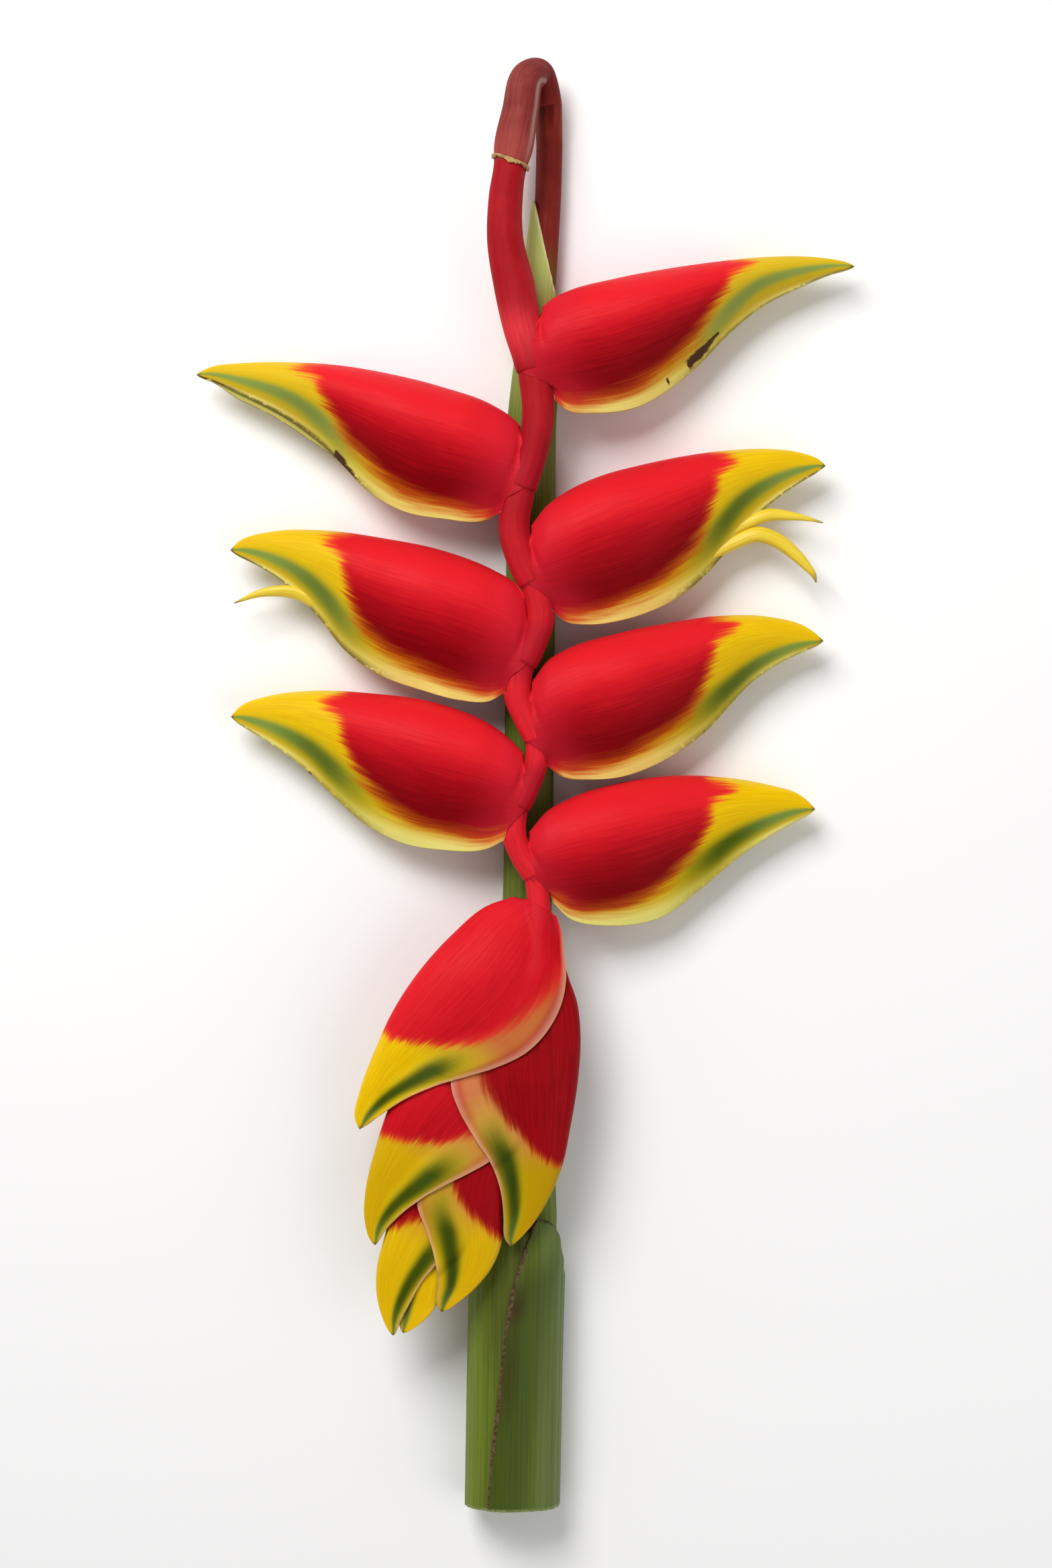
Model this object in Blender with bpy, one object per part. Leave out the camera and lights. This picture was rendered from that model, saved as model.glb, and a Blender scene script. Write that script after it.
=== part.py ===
# Heliconia flower, as picked: a hanging flower head on its hooked stalk, with a length of cut leafy stem.
# It lies on its back on the floor. +X is the flower's right, +Y its top, and +Z faces up, away from the floor.
# The origin is on the floor under the middle of the part. The constants are in millimetres, the scene in metres.

import math

import bmesh
import bpy
import numpy as np

MM = 0.001
PART = "heliconia_flower"

# Clearances and walls
FLORET_GAP = 0.55
FLOWER_SEAT = 1.0
ROLL_GAP = 0.7
SHELL_GAP = 0.95
BRACT_WALL = 1.3
HANGING_WALL = 1.0
SHEATH_WALL = 1.6
FLOOR_WALL_SHARE = 0.8
FLAT_DEPTH = 1.7
THINNEST_HOLLOW = 0.3
TIP_HALF = 1.1

# Bract form: where along it the belly is widest and lowest, its widest place from keel to lip, the powers of its
# section, how the columns crowd towards the keel, the power with which the lobe of the base falls off towards the
# lip, and how far the keel's wall is set in
WIDEST_ALONG = 0.36
LOWEST_ALONG = 0.62
SECTION_POWERS = (0.6, 1.2)
KEEL_CROWDING = 1.35
OPEN_LOBE_FALL = 1
HANGING_LOBE_FALL = 2
KEEL_INSET = 1.2
MOST_INSET = 0.25
ROLLING_BALL = 6.0

# Mesh steps
LENGTH_STEPS = 11
SIDE_STEPS = 5
FINE = 5
LIFT_ROUNDS = 24
ROUTE_STEPS = 900
HEAD_STEPS = 74
STALK_SIDES = 10
SHEATH_SIDES = 16
ROLL_STEPS = 27
FLORET_STEPS = 7
SHOWING_STEPS = 13
FLORET_SIDES = 6

# Heights above the floor
HEAD_HEIGHT = 29.5
CLUSTER_HEIGHT = 36.5
CLUSTER_RISE_FROM = -42.0
CLUSTER_RISE_TO = -84.0

# Stalk route: x, y, z and radius, from the cut end round the hook to the growing tip
STALK_ROUTE = (
    (-6.4, -306.0, 15.0, 6.0),
    (-5.4, -250.0, 15.0, 6.0),
    (-4.2, -200.0, 14.4, 6.0),
    (-2.6, -155.0, 12.2, 6.0),
    (-0.8, -100.0, 9.9, 6.0),
    (0.8, -40.0, 7.9, 6.0),
    (1.8, 60.0, 7.6, 5.9),
    (2.2, 150.0, 7.6, 5.8),
    (5.6, 212.0, 7.7, 5.6),
    (9.0, 246.0, 8.0, 5.5),
    (10.1, 270.0, 8.6, 5.5),
    (9.6, 285.0, 10.8, 5.7),
    (5.2, 298.4, 17.6, 6.3),
    (0.6, 294.0, 24.4, 7.0),
    (-2.6, 279.0, 29.0, 7.6),
    (-5.9, 261.0, 30.4, 7.8),
    (-6.5, 257.4, 30.5, 7.1),
    (-8.6, 243.0, 30.3, 7.1),
    (-9.6, 225.0, 29.9, 7.1),
    (-7.9, 206.6, 29.5, 7.1),
    (-3.5, 188.6, 29.5, 7.0),
    (1.8, 170.0, 29.5, 6.6),
    (4.7, 152.0, 29.5, 6.4),
    (2.2, 134.9, 29.5, 6.3),
    (-2.2, 121.9, 29.5, 6.4),
    (-5.1, 104.8, 29.5, 6.5),
    (-1.4, 90.2, 29.5, 6.2),
    (4.3, 78.8, 29.5, 5.9),
    (6.1, 68.2, 29.5, 5.7),
    (2.2, 55.1, 29.5, 5.6),
    (-2.6, 45.4, 29.5, 5.6),
    (-3.9, 36.4, 29.5, 5.7),
    (0.2, 25.0, 29.5, 5.4),
    (4.3, 16.1, 29.5, 5.1),
    (4.3, 7.1, 29.5, 4.9),
    (0.2, -4.3, 29.5, 4.9),
    (-4.3, -14.0, 29.5, 5.0),
    (-5.1, -23.0, 29.5, 5.1),
    (-1.4, -32.8, 29.5, 4.9),
    (3.5, -40.9, 29.5, 4.8),
    (5.3, -52.0, 30.8, 4.7),
    (6.3, -72.6, 35.0, 4.5),
    (1.0, -88.1, 36.5, 4.2),
    (-7.6, -102.8, 36.5, 3.7),
    (-10.4, -125.6, 36.5, 3.1),
    (-16.1, -143.5, 36.5, 2.6),
    (-21.5, -156.0, 36.5, 1.8),
)
STRAIGHT_KNOTS = 11
HEAD_KNOT = 19

# Open bracts: the keel and the lip from base to tip, seen from above, and the innermost point of the clasping base.
# belly is the half width of the boat across Z, and seat the clearance that the base keeps round the axis.
OPEN_BRACTS = {
    "bract_01": {
        "keel": ((8.2, 197.0), (17.2, 204.1), (37.9, 210.3), (58.7, 214.6), (79.5, 217.8), (100.2, 219.9),
                 (121.0, 220.0), (133.5, 218.2)),
        "lip": ((12.0, 158.5), (17.0, 154.6), (30.0, 153.6), (46.2, 156.3), (60.8, 164.6), (73.2, 175.0),
                (85.7, 188.0), (100.2, 199.6), (116.8, 208.0), (130.0, 213.2)),
        "lobe": (-3.6, 176.0),
        "tip": (138.4, 215.9),
        "belly": 21.0,
        "seat": 0.75,
    },
    "bract_02": {
        "keel": ((-4.4, 149.8), (-14.0, 156.6), (-34.7, 164.6), (-55.5, 170.2), (-76.3, 174.0), (-97.0, 175.6),
                 (-117.8, 175.4), (-132.3, 173.8)),
        "lip": ((-10.0, 112.0), (-17.0, 108.6), (-34.7, 109.4), (-51.4, 112.7), (-65.9, 121.0), (-76.3, 131.4),
                (-88.7, 143.9), (-105.4, 155.3), (-124.0, 164.2), (-133.0, 168.0)),
        "lobe": (1.0, 127.0),
        "tip": (-138.8, 170.4),
        "belly": 21.0,
        "seat": 0.75,
    },
    "bract_03": {
        "keel": ((3.4, 107.6), (7.9, 113.6), (18.3, 121.4), (31.8, 127.6), (49.5, 132.5), (68.2, 136.4),
                 (85.8, 138.6), (101.4, 139.2), (113.8, 138.0), (122.2, 135.4)),
        "lip": ((10.5, 71.0), (16.3, 66.3), (26.6, 65.0), (39.1, 66.7), (51.6, 70.5), (64.0, 76.7), (75.4, 86.1),
                (83.7, 95.4), (91.0, 104.4), (99.3, 113.0), (108.0, 120.2), (118.5, 127.0)),
        "lobe": (-0.8, 87.0),
        "tip": (126.2, 132.0),
        "belly": 21.0,
        "seat": 0.5,
    },
    "bract_04": {
        "keel": ((-4.6, 81.9), (-14.0, 87.8), (-34.7, 96.1), (-59.7, 101.5), (-86.7, 105.0), (-107.4, 104.4),
                 (-119.9, 101.0)),
        "lip": ((-8.5, 36.6), (-15.0, 33.0), (-28.0, 33.4), (-43.1, 37.4), (-61.7, 44.2), (-76.3, 54.6),
                (-86.7, 67.6), (-99.1, 80.6), (-111.6, 89.4), (-119.6, 93.4)),
        "lobe": (2.0, 54.0),
        "tip": (-124.6, 96.6),
        "belly": 20.5,
        "seat": 0.7,
    },
    "bract_05": {
        "keel": ((3.4, 42.0), (8.0, 48.6), (17.2, 54.6), (37.9, 61.2), (60.8, 66.0), (81.5, 68.9), (102.3, 68.5),
                 (116.8, 64.9)),
        "lip": ((9.0, 5.6), (15.0, 1.4), (27.5, 0.1), (40.0, 1.2), (52.0, 5.2), (64.9, 12.2), (77.0, 21.6),
                (86.0, 31.6), (96.0, 41.8), (108.0, 49.8), (119.0, 54.8)),
        "lobe": (-0.6, 21.0),
        "tip": (125.4, 58.4),
        "belly": 20.5,
        "seat": 0.7,
    },
    "bract_06": {
        "keel": ((-3.4, 13.5), (-14.0, 22.4), (-34.7, 31.3), (-65.9, 36.3), (-90.8, 37.3), (-107.4, 35.4),
                 (-119.9, 31.2)),
        "lip": ((-9.0, -25.4), (-16.0, -28.8), (-34.7, -29.5), (-51.4, -26.8), (-68.0, -18.5), (-82.5, -5.6),
                (-95.0, 6.0), (-109.5, 16.4), (-119.0, 22.2)),
        "lobe": (1.6, -7.0),
        "tip": (-124.4, 26.3),
        "belly": 20.0,
        "seat": 0.4,
    },
    "bract_07": {
        "keel": ((3.0, -20.0), (8.0, -14.2), (18.6, -8.0), (37.9, -1.9), (60.8, 1.4), (81.5, 1.0), (102.3, -2.3),
                 (114.8, -6.1)),
        "lip": ((11.5, -51.5), (17.5, -57.6), (35.9, -61.3), (56.6, -58.0), (73.2, -46.4), (89.8, -32.6),
                (104.0, -23.0), (115.0, -17.0)),
        "lobe": (-0.4, -37.0),
        "tip": (122.0, -12.6),
        "belly": 19.5,
        "seat": 1.0,
    },
}

# Hanging bracts, oldest first. Each closes round the younger ones.
HANGING_BRACTS = {
    "bract_08": {
        "keel": ((-3.2, -48.2), (-17.2, -53.4), (-30.7, -64.6), (-44.2, -79.5), (-55.0, -95.7), (-63.1, -113.2),
                 (-69.1, -129.4), (-71.3, -140.2)),
        "lip": ((14.4, -63.5), (15.6, -72.0), (16.4, -83.0), (14.8, -92.0), (9.8, -102.4), (0.4, -112.6),
                (-13.1, -119.4), (-24.0, -122.6), (-37.4, -126.7), (-50.9, -132.8), (-61.7, -140.4)),
        "lobe": (8.6, -54.2),
        "tip": (-69.2, -145.6),
        "belly": 9.5,
        "seat": 1.3,
    },
    "bract_09": {
        "keel": ((13.4, -67.0), (15.4, -74.5), (17.6, -82.0), (21.3, -92.9), (22.7, -106.4), (21.8, -124.0),
                 (18.6, -144.3), (15.2, -160.5), (9.8, -173.9), (3.1, -184.8)),
        "lip": ((-11.0, -89.5), (-21.0, -104.0), (-29.0, -115.0), (-30.9, -125.3), (-27.3, -137.5),
                (-21.2, -148.3), (-14.5, -158.7), (-10.5, -169.9), (-9.1, -182.1), (-8.8, -190.0)),
        "lobe": (-2.5, -77.0),
        "tip": (-6.0, -194.4),
        "belly": 8.5,
        "seat": 1.25,
    },
    "bract_10": {
        "keel": ((-16.2, -97.3), (-32.0, -106.0), (-46.0, -118.0), (-54.0, -129.0), (-58.4, -140.0),
                 (-63.1, -155.0), (-66.8, -171.2), (-67.3, -182.1), (-65.6, -190.0)),
        "lip": ((-1.0, -119.0), (0.0, -132.0), (-5.0, -147.0), (-14.0, -157.2), (-24.0, -163.2),
                (-34.7, -168.5), (-45.5, -175.0), (-53.6, -181.8), (-59.4, -188.6)),
        "lobe": (-3.0, -107.0),
        "tip": (-62.8, -193.8),
        "belly": 7.5,
        "seat": 1.2,
    },
    "bract_11": {
        "keel": ((-5.0, -126.0), (-1.0, -140.0), (-2.5, -155.0), (-7.0, -167.0), (-9.8, -180.0), (-10.2, -192.9),
                 (-14.5, -203.6), (-21.2, -211.8), (-30.0, -219.0)),
        "lip": ((-22.0, -138.0), (-33.0, -153.0), (-42.5, -165.0), (-44.9, -176.0), (-41.5, -186.1),
                (-37.8, -198.3), (-36.4, -209.0), (-37.0, -217.6)),
        "lobe": (-16.5, -129.0),
        "tip": (-35.0, -221.6),
        "belly": 6.2,
        "seat": 0.9,
    },
    "bract_12": {
        "keel": ((-21.5, -141.0), (-36.0, -149.0), (-48.0, -161.0), (-55.0, -175.0), (-58.8, -190.1),
                 (-61.9, -202.3), (-61.9, -215.8), (-59.2, -225.3)),
        "lip": ((-15.4, -156.6), (-20.0, -172.0), (-26.5, -188.0), (-36.8, -200.6), (-42.8, -207.7),
                (-48.7, -218.0), (-53.0, -226.8)),
        "lobe": (-12.5, -149.0),
        "tip": (-55.4, -231.4),
        "belly": 5.0,
        "seat": 0.9,
    },
    "bract_bud": {
        "keel": ((-20.5, -161.0), (-24.0, -177.0), (-29.5, -195.0), (-34.5, -211.0), (-39.0, -221.5),
                 (-45.5, -227.6)),
        "lip": ((-30.0, -164.0), (-42.0, -177.0), (-49.0, -192.0), (-52.6, -207.0), (-53.4, -219.0),
                (-52.6, -226.0)),
        "lobe": (-24.5, -160.5),
        "tip": (-51.0, -230.4),
        "belly": 3.6,
        "seat": 0.9,
    },
}

# Flowers that show past the lips: routes seen from above, with a radius at each point
SHOWING_FLOWERS = {
    "bract_03": (
        ((46.0, 93.0, 2.2), (74.0, 98.0, 2.6), (92.0, 107.5, 2.9), (102.0, 111.2, 2.9), (111.0, 110.9, 2.1),
         (120.0, 109.4, 0.9), (125.0, 108.1, 0.4)),
        ((42.0, 91.0, 2.2), (70.0, 91.5, 2.8), (88.5, 100.0, 3.3), (97.0, 103.0, 3.6), (106.0, 100.3, 3.4),
         (112.5, 95.4, 2.9), (118.0, 89.9, 2.1), (121.6, 85.2, 1.0), (122.2, 82.9, 0.4)),
    ),
    "bract_04": (
        ((-42.0, 58.0, 2.2), (-66.0, 62.0, 2.6), (-84.0, 72.0, 2.9), (-98.0, 79.0, 2.9), (-111.6, 78.6, 1.8),
         (-123.0, 74.3, 0.4)),
    ),
}

# Flowers inside every open bract: share of the way to the tip, drop towards the lip, rise and radius at each point
FLOWER_ROOT = 1.7
FLOWER_STALK = ((0.06, 1.0, 0.0, 2.6), (0.13, 2.0, 0.0, 2.6))
SHOWING_START = (0.08, 1.5, 0.0, 1.6)
FLOWER_FAN = (
    ((0.08, 2.0, 0.0, 1.6), (0.20, 8.0, 3.0, 2.2), (0.31, 12.0, 5.0, 2.2), (0.44, 12.0, 5.0, 0.6)),
    ((0.08, 1.0, 0.0, 1.6), (0.22, 2.0, -3.5, 2.3), (0.36, 4.0, -5.5, 2.2), (0.48, 4.0, -5.0, 0.6)),
    ((0.08, 0.0, 0.0, 1.6), (0.24, -5.0, 4.0, 2.3), (0.38, -6.0, 5.5, 2.2), (0.52, -2.0, 5.0, 0.6)),
)

# Leaf sheaths round the stem, innermost first: inner radius across Z, how much wider the inside and the outside are
# across X, the lowest and highest point of the mouth, and the side of its point in degrees from +X
SHEATHS = {
    "sheath_inner": {"radius": 6.6, "widen": (1.08, 1.25), "low": 204.0, "high": 245.0, "side": 170.0},
    "sheath_second": {"radius": 8.65, "widen": (1.24, 1.30), "low": -96.0, "high": -62.0, "side": 20.0},
    "sheath_third": {"radius": 10.7, "widen": (1.30, 1.34), "low": -164.0, "high": -132.0, "side": 200.0},
}
OUTER_SHEATH = {"radius": 13.0, "widen": 1.28, "low": -212.0, "high": -184.0, "margin": 64.0, "drift": 46.0,
                "wrap": 390.0}
CUT_END = -306.0
MOUTH_ROOM = 20.0
OUTER_ROWS = 2
MOUTH_POWER = 1.6
SHOULDER_TURNS = 3.4
SCAR = {"at": 255.6, "inner": 7.6, "outer": 8.5, "deep": 2.2, "taper": 0.2, "wave": 0.6, "waves": 5, "sides": 20}

COLOURS = {
    "stalk_skin": ((0.42, 0.030, 0.028), 0.62),
    "bract_skin": ((0.70, 0.020, 0.030), 0.52),
    "flower_skin": ((0.86, 0.62, 0.05), 0.45),
    "sheath_skin": ((0.16, 0.26, 0.05), 0.48),
    "dry_skin": ((0.46, 0.34, 0.18), 0.80),
}


def clear_scene():
    for obj in list(bpy.data.objects):
        bpy.data.objects.remove(obj, do_unlink=True)


def make_material(name):
    colour, roughness = COLOURS[name]
    material = bpy.data.materials.new(name)
    material.use_nodes = True
    shader = material.node_tree.nodes["Principled BSDF"]
    shader.inputs["Base Color"].default_value = (*colour, 1.0)
    shader.inputs["Roughness"].default_value = roughness
    return material


def smooth_line(points, count):
    """Evenly spaced points on a smooth curve through the given ones. Extra columns, such as a radius, follow along."""
    knots = np.asarray(points, float)
    axes = 3 if knots.shape[1] > 3 else 2
    spans = np.linalg.norm(np.diff(knots[:, :axes], axis=0), axis=1)
    slopes = np.diff(knots, axis=0) / spans[:, None]
    tangents = np.empty_like(knots)
    tangents[0] = slopes[0]
    tangents[-1] = slopes[-1]
    before = spans[:-1, None]
    after = spans[1:, None]
    tangents[1:-1] = (slopes[:-1] * after + slopes[1:] * before) / (before + after)
    t = np.linspace(0, 1, 12, endpoint=False)[:, None]
    pieces = []
    for i, span in enumerate(spans):
        pieces.append(
            (2 * t**3 - 3 * t**2 + 1) * knots[i]
            + (t**3 - 2 * t**2 + t) * span * tangents[i]
            + (3 * t**2 - 2 * t**3) * knots[i + 1]
            + (t**3 - t**2) * span * tangents[i + 1]
        )
    dense = np.vstack(pieces + [knots[-1:]])
    steps = np.linalg.norm(np.diff(dense[:, :axes], axis=0), axis=1)
    along = np.concatenate([[0.0], np.cumsum(steps)])
    wanted = np.linspace(0, along[-1], count)
    return np.column_stack([np.interp(wanted, along, column) for column in dense.T])


def link(name, mesh, material, collection):
    obj = bpy.data.objects.new(name, mesh)
    mesh.materials.append(material)
    collection.objects.link(obj)
    return obj


def sheet_solid(name, outer, inner, material, collection, ring=False):
    """A closed solid between two grids of points that are joined along their borders. ring joins each grid's sides."""
    rows, columns = outer.shape[:2]
    points = np.concatenate([outer.reshape(-1, 3), inner.reshape(-1, 3)]) * MM
    back = rows * columns
    faces = []

    def quad(a, b, c, d):
        faces.append((a, b, c))
        faces.append((a, c, d))

    across = columns if ring else columns - 1
    for j in range(across):
        k = (j + 1) % columns
        for i in range(rows - 1):
            a, b = i * columns + j, i * columns + k
            c, d = (i + 1) * columns + k, (i + 1) * columns + j
            quad(a, b, c, d)
            faces.append((back + a, back + c, back + b))
            faces.append((back + a, back + d, back + c))
        last = (rows - 1) * columns
        quad(k, j, back + j, back + k)
        quad(last + j, last + k, back + last + k, back + last + j)
    if not ring:
        for i in range(rows - 1):
            a, d = i * columns, (i + 1) * columns
            quad(a, d, back + d, back + a)
            b, c = a + columns - 1, d + columns - 1
            quad(c, b, back + b, back + c)
    mesh = bpy.data.meshes.new(name)
    mesh.from_pydata([tuple(p) for p in points], [], faces)
    work = bmesh.new()
    work.from_mesh(mesh)
    bmesh.ops.recalc_face_normals(work, faces=work.faces)
    work.to_mesh(mesh)
    work.free()
    mesh.shade_smooth()
    return link(name, mesh, material, collection)


def tube_curve(name, route, radii, sides):
    """A tube along a route: a curve with a bevel depth, a radius at each point and filled ends."""
    data = bpy.data.curves.new(name, "CURVE")
    data.dimensions = "3D"
    data.bevel_depth = MM
    data.bevel_resolution = (sides - 4) // 2
    data.use_fill_caps = True
    spline = data.splines.new("POLY")
    spline.points.add(len(route) - 1)
    for point, place, radius in zip(spline.points, route, radii):
        point.co = (*(place * MM), 1.0)
        point.radius = radius
    return bpy.data.objects.new(name, data)


def tube_mesh(name, route, radii, sides):
    """The same tube as a closed mesh, for a union."""
    curve = tube_curve(name, route, radii, sides)
    bpy.context.scene.collection.objects.link(curve)
    graph = bpy.context.evaluated_depsgraph_get()
    mesh = bpy.data.meshes.new_from_object(curve.evaluated_get(graph))
    bpy.data.objects.remove(curve, do_unlink=True)
    work = bmesh.new()
    work.from_mesh(mesh)
    bmesh.ops.remove_doubles(work, verts=work.verts, dist=0.00001)
    bmesh.ops.recalc_face_normals(work, faces=work.faces)
    work.to_mesh(mesh)
    work.free()
    mesh.name = name
    return mesh


def stalk_route():
    """The stalk's points: its own knots on the straight stem, and close steps on the hook and the zigzag head."""
    line = smooth_line(STALK_ROUTE, ROUTE_STEPS)
    bend = int(np.argmin(np.linalg.norm(line[:, :3] - STALK_ROUTE[STRAIGHT_KNOTS][:3], axis=1)))
    picked = np.linspace(bend, len(line) - 1, HEAD_STEPS).astype(int)
    return np.vstack([STALK_ROUTE[:STRAIGHT_KNOTS], line[picked]])


def add_stalk(material, collection):
    route = stalk_route()
    obj = tube_curve("flower_stalk", route[:, :3], route[:, 3], STALK_SIDES)
    obj.data.materials.append(material)
    collection.objects.link(obj)
    return obj


def stem_centre(y):
    """x and z of the stem's centre line at each y, on the straight run below the hook."""
    knots = np.array(STALK_ROUTE[: STRAIGHT_KNOTS + 1])
    return np.interp(y, knots[:, 1], knots[:, 0]), np.interp(y, knots[:, 1], knots[:, 2])


def sheath_rows(mouth, between=0):
    """y of every row of a sheath: level rows at the stem's knots, then two that slant up to the mouth."""
    knots = [knot[1] for knot in STALK_ROUTE[:STRAIGHT_KNOTS] if knot[1] < mouth.min() - MOUTH_ROOM]
    steps = np.interp(np.linspace(0, len(knots) - 1, (len(knots) - 1) * (between + 1) + 1), range(len(knots)), knots)
    level = [np.full_like(mouth, y) for y in steps]
    return np.array(level + [level[-1] + share * (mouth - level[-1]) for share in (0.6, 1.0)])


def add_sheath(name, spec, material, collection):
    """A leaf sheath: a tube round the stem whose mouth rises to a point on one side."""
    turn = np.linspace(0, 2 * math.pi, SHEATH_SIDES, endpoint=False)
    rise = (0.5 + 0.5 * np.cos(turn - math.radians(spec["side"]))) ** MOUTH_POWER
    mouth = spec["low"] + (spec["high"] - spec["low"]) * rise
    y = sheath_rows(mouth)
    x, z = stem_centre(y)

    def skin(radius, widen):
        return np.stack([x + widen * radius * np.cos(turn), y, z + radius * np.sin(turn)], axis=-1)

    inner = skin(spec["radius"], spec["widen"][0])
    outer = skin(spec["radius"] + SHEATH_WALL, spec["widen"][1])
    outer[..., 2] = np.maximum(outer[..., 2], 0.0)
    return sheet_solid(name, outer, inner, material, collection, ring=True)


def add_outer_sheath(material, collection):
    """The outermost sheath: a sheet rolled once round the stem, with its free margin over its own hidden edge.

    A full turn is a whole number of its steps, so that the faces of the two layers lie parallel.
    """
    spec = OUTER_SHEATH
    roll = np.linspace(0, 1, ROLL_STEPS)
    shoulder = 0.5 + 0.5 * np.cos(math.pi * np.clip(roll * SHOULDER_TURNS, 0, 1))
    y = sheath_rows(spec["low"] + (spec["high"] - spec["low"]) * shoulder, OUTER_ROWS)
    share = (y - CUT_END) / (spec["high"] - CUT_END)
    turn = np.radians(spec["margin"] + spec["drift"] * (1 - share) - roll * spec["wrap"])
    x, z = stem_centre(y)
    lift = (SHEATH_WALL + ROLL_GAP) * (1 - roll)

    def skin(radius):
        return np.stack([x + spec["widen"] * radius * np.cos(turn), y, z + radius * np.sin(turn)], axis=-1)

    inner = skin(spec["radius"] + lift)
    outer = skin(spec["radius"] + lift + SHEATH_WALL)
    outer[..., 2] = np.maximum(outer[..., 2], 0.0)
    inner[..., 2] = np.maximum(inner[..., 2], FLOOR_WALL_SHARE * SHEATH_WALL)
    return sheet_solid("sheath_outer", outer, inner, material, collection)


def add_scar_rim(material, collection):
    """The thin dry rim below the hook, where a fallen bract has left its scar."""
    route = smooth_line(STALK_ROUTE, ROUTE_STEPS)
    limb = route[np.argmax(route[:, 1]) :]
    at = limb[np.argmin(np.abs(limb[:, 1] - SCAR["at"])), :3]
    near = limb[np.argmin(np.abs(limb[:, 1] - SCAR["at"] + SCAR["deep"])), :3]
    along = (near - at) / np.linalg.norm(near - at)
    side = np.cross(along, (0.0, 0.0, 1.0))
    side /= np.linalg.norm(side)
    face = np.cross(side, along)
    turn = np.linspace(0, 2 * math.pi, SCAR["sides"], endpoint=False)
    round_way = np.cos(turn)[:, None] * side + np.sin(turn)[:, None] * face
    edge = SCAR["deep"] + SCAR["wave"] * np.sin(SCAR["waves"] * turn)
    rows = np.array([0.0, 1.0])[:, None, None]
    spread = rows * edge[None, :, None] * along
    inner = at + spread + round_way * SCAR["inner"]
    outer = at + spread + round_way * (SCAR["outer"] - SCAR["taper"] * rows)
    return sheet_solid("scar_rim", outer, inner, material, collection, ring=True)


def cluster_height(y):
    """Height of the hanging cluster's middle: it rises from the open head to lie over the stem."""
    t = np.clip((CLUSTER_RISE_FROM - y) / (CLUSTER_RISE_FROM - CLUSTER_RISE_TO), 0, 1)
    return HEAD_HEIGHT + (CLUSTER_HEIGHT - HEAD_HEIGHT) * t * t * (3 - 2 * t)


def boat_section(v):
    """Half width of a folded bract from keel, v = 0, to lip, v = 1, as a share of its widest place."""
    rise, fall = SECTION_POWERS
    widest = rise / (rise + fall)
    return (v / widest) ** rise * ((1 - v) / (1 - widest)) ** fall


def boat_length(u):
    """Half width of a bract along its length, as a share of its belly."""
    knots = np.array(((0.0, 0.40), (0.1, 0.56), (0.22, 0.85), (WIDEST_ALONG, 1.0), (0.6, 0.76), (0.8, 0.36),
                      (0.93, 0.14), (1.0, 0.07)))
    curve = smooth_line(knots, 80)
    return np.interp(u, curve[:, 0], curve[:, 1])


def rod_need(flat, rod, clearance):
    """Half width that a wall needs at each flat point to pass over a rod, given as rows of x, y, radius."""
    offset = flat[..., None, :] - rod[:, :2]
    distance = np.sum(offset**2, axis=-1)
    reach = (rod[:, 2] + clearance) ** 2
    return np.sqrt(np.maximum(reach - distance, 0.0)).max(axis=-1)


def shell_need(flat, samples, clearance):
    """The same for younger bracts, given as rows of x, y, half width: their offset by a rolling ball."""
    offset = flat[..., None, :] - samples[:, :2]
    distance = np.sum(offset**2, axis=-1)
    over = np.sqrt(np.maximum(ROLLING_BALL**2 - distance, 0.0)) - ROLLING_BALL
    need = np.where(distance < ROLLING_BALL**2, samples[:, 2] + clearance + over, 0.0)
    return np.maximum(need.max(axis=-1), 0.0)


def densify(grid, times):
    """A grid with extra rows and columns between its own, placed by straight lines."""
    for axis in (0, 1):
        count = grid.shape[axis]
        wanted = np.linspace(0, count - 1, (count - 1) * times + 1)
        low = np.minimum(wanted.astype(int), count - 2)
        share = (wanted - low).reshape([-1 if a == axis else 1 for a in range(grid.ndim)])
        grid = np.take(grid, low, axis) * (1 - share) + np.take(grid, low + 1, axis) * share
    return grid


def lifted(half, flat, u, need):
    """Raises a grid of half widths until the sheet between its points, too, passes over what lies inside."""
    fine_u = densify(np.broadcast_to(u, half.shape)[..., None], FINE)[..., 0]
    wanted = need(densify(flat, FINE), fine_u)
    hat = 1 - np.abs(np.arange(1 - FINE, FINE)) / FINE
    weight = hat[:, None] * hat[None, :]
    edge = FINE - 1
    for _ in range(LIFT_ROUNDS):
        short = wanted - densify(half[..., None], FINE)[..., 0]
        short = np.pad(np.maximum(short, 0.0), edge)
        half = half.copy()
        for i, j in np.ndindex(half.shape):
            window = short[i * FINE : i * FINE + 2 * FINE - 1, j * FINE : j * FINE + 2 * FINE - 1]
            half[i, j] += (window * weight).max()
    return half


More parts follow.
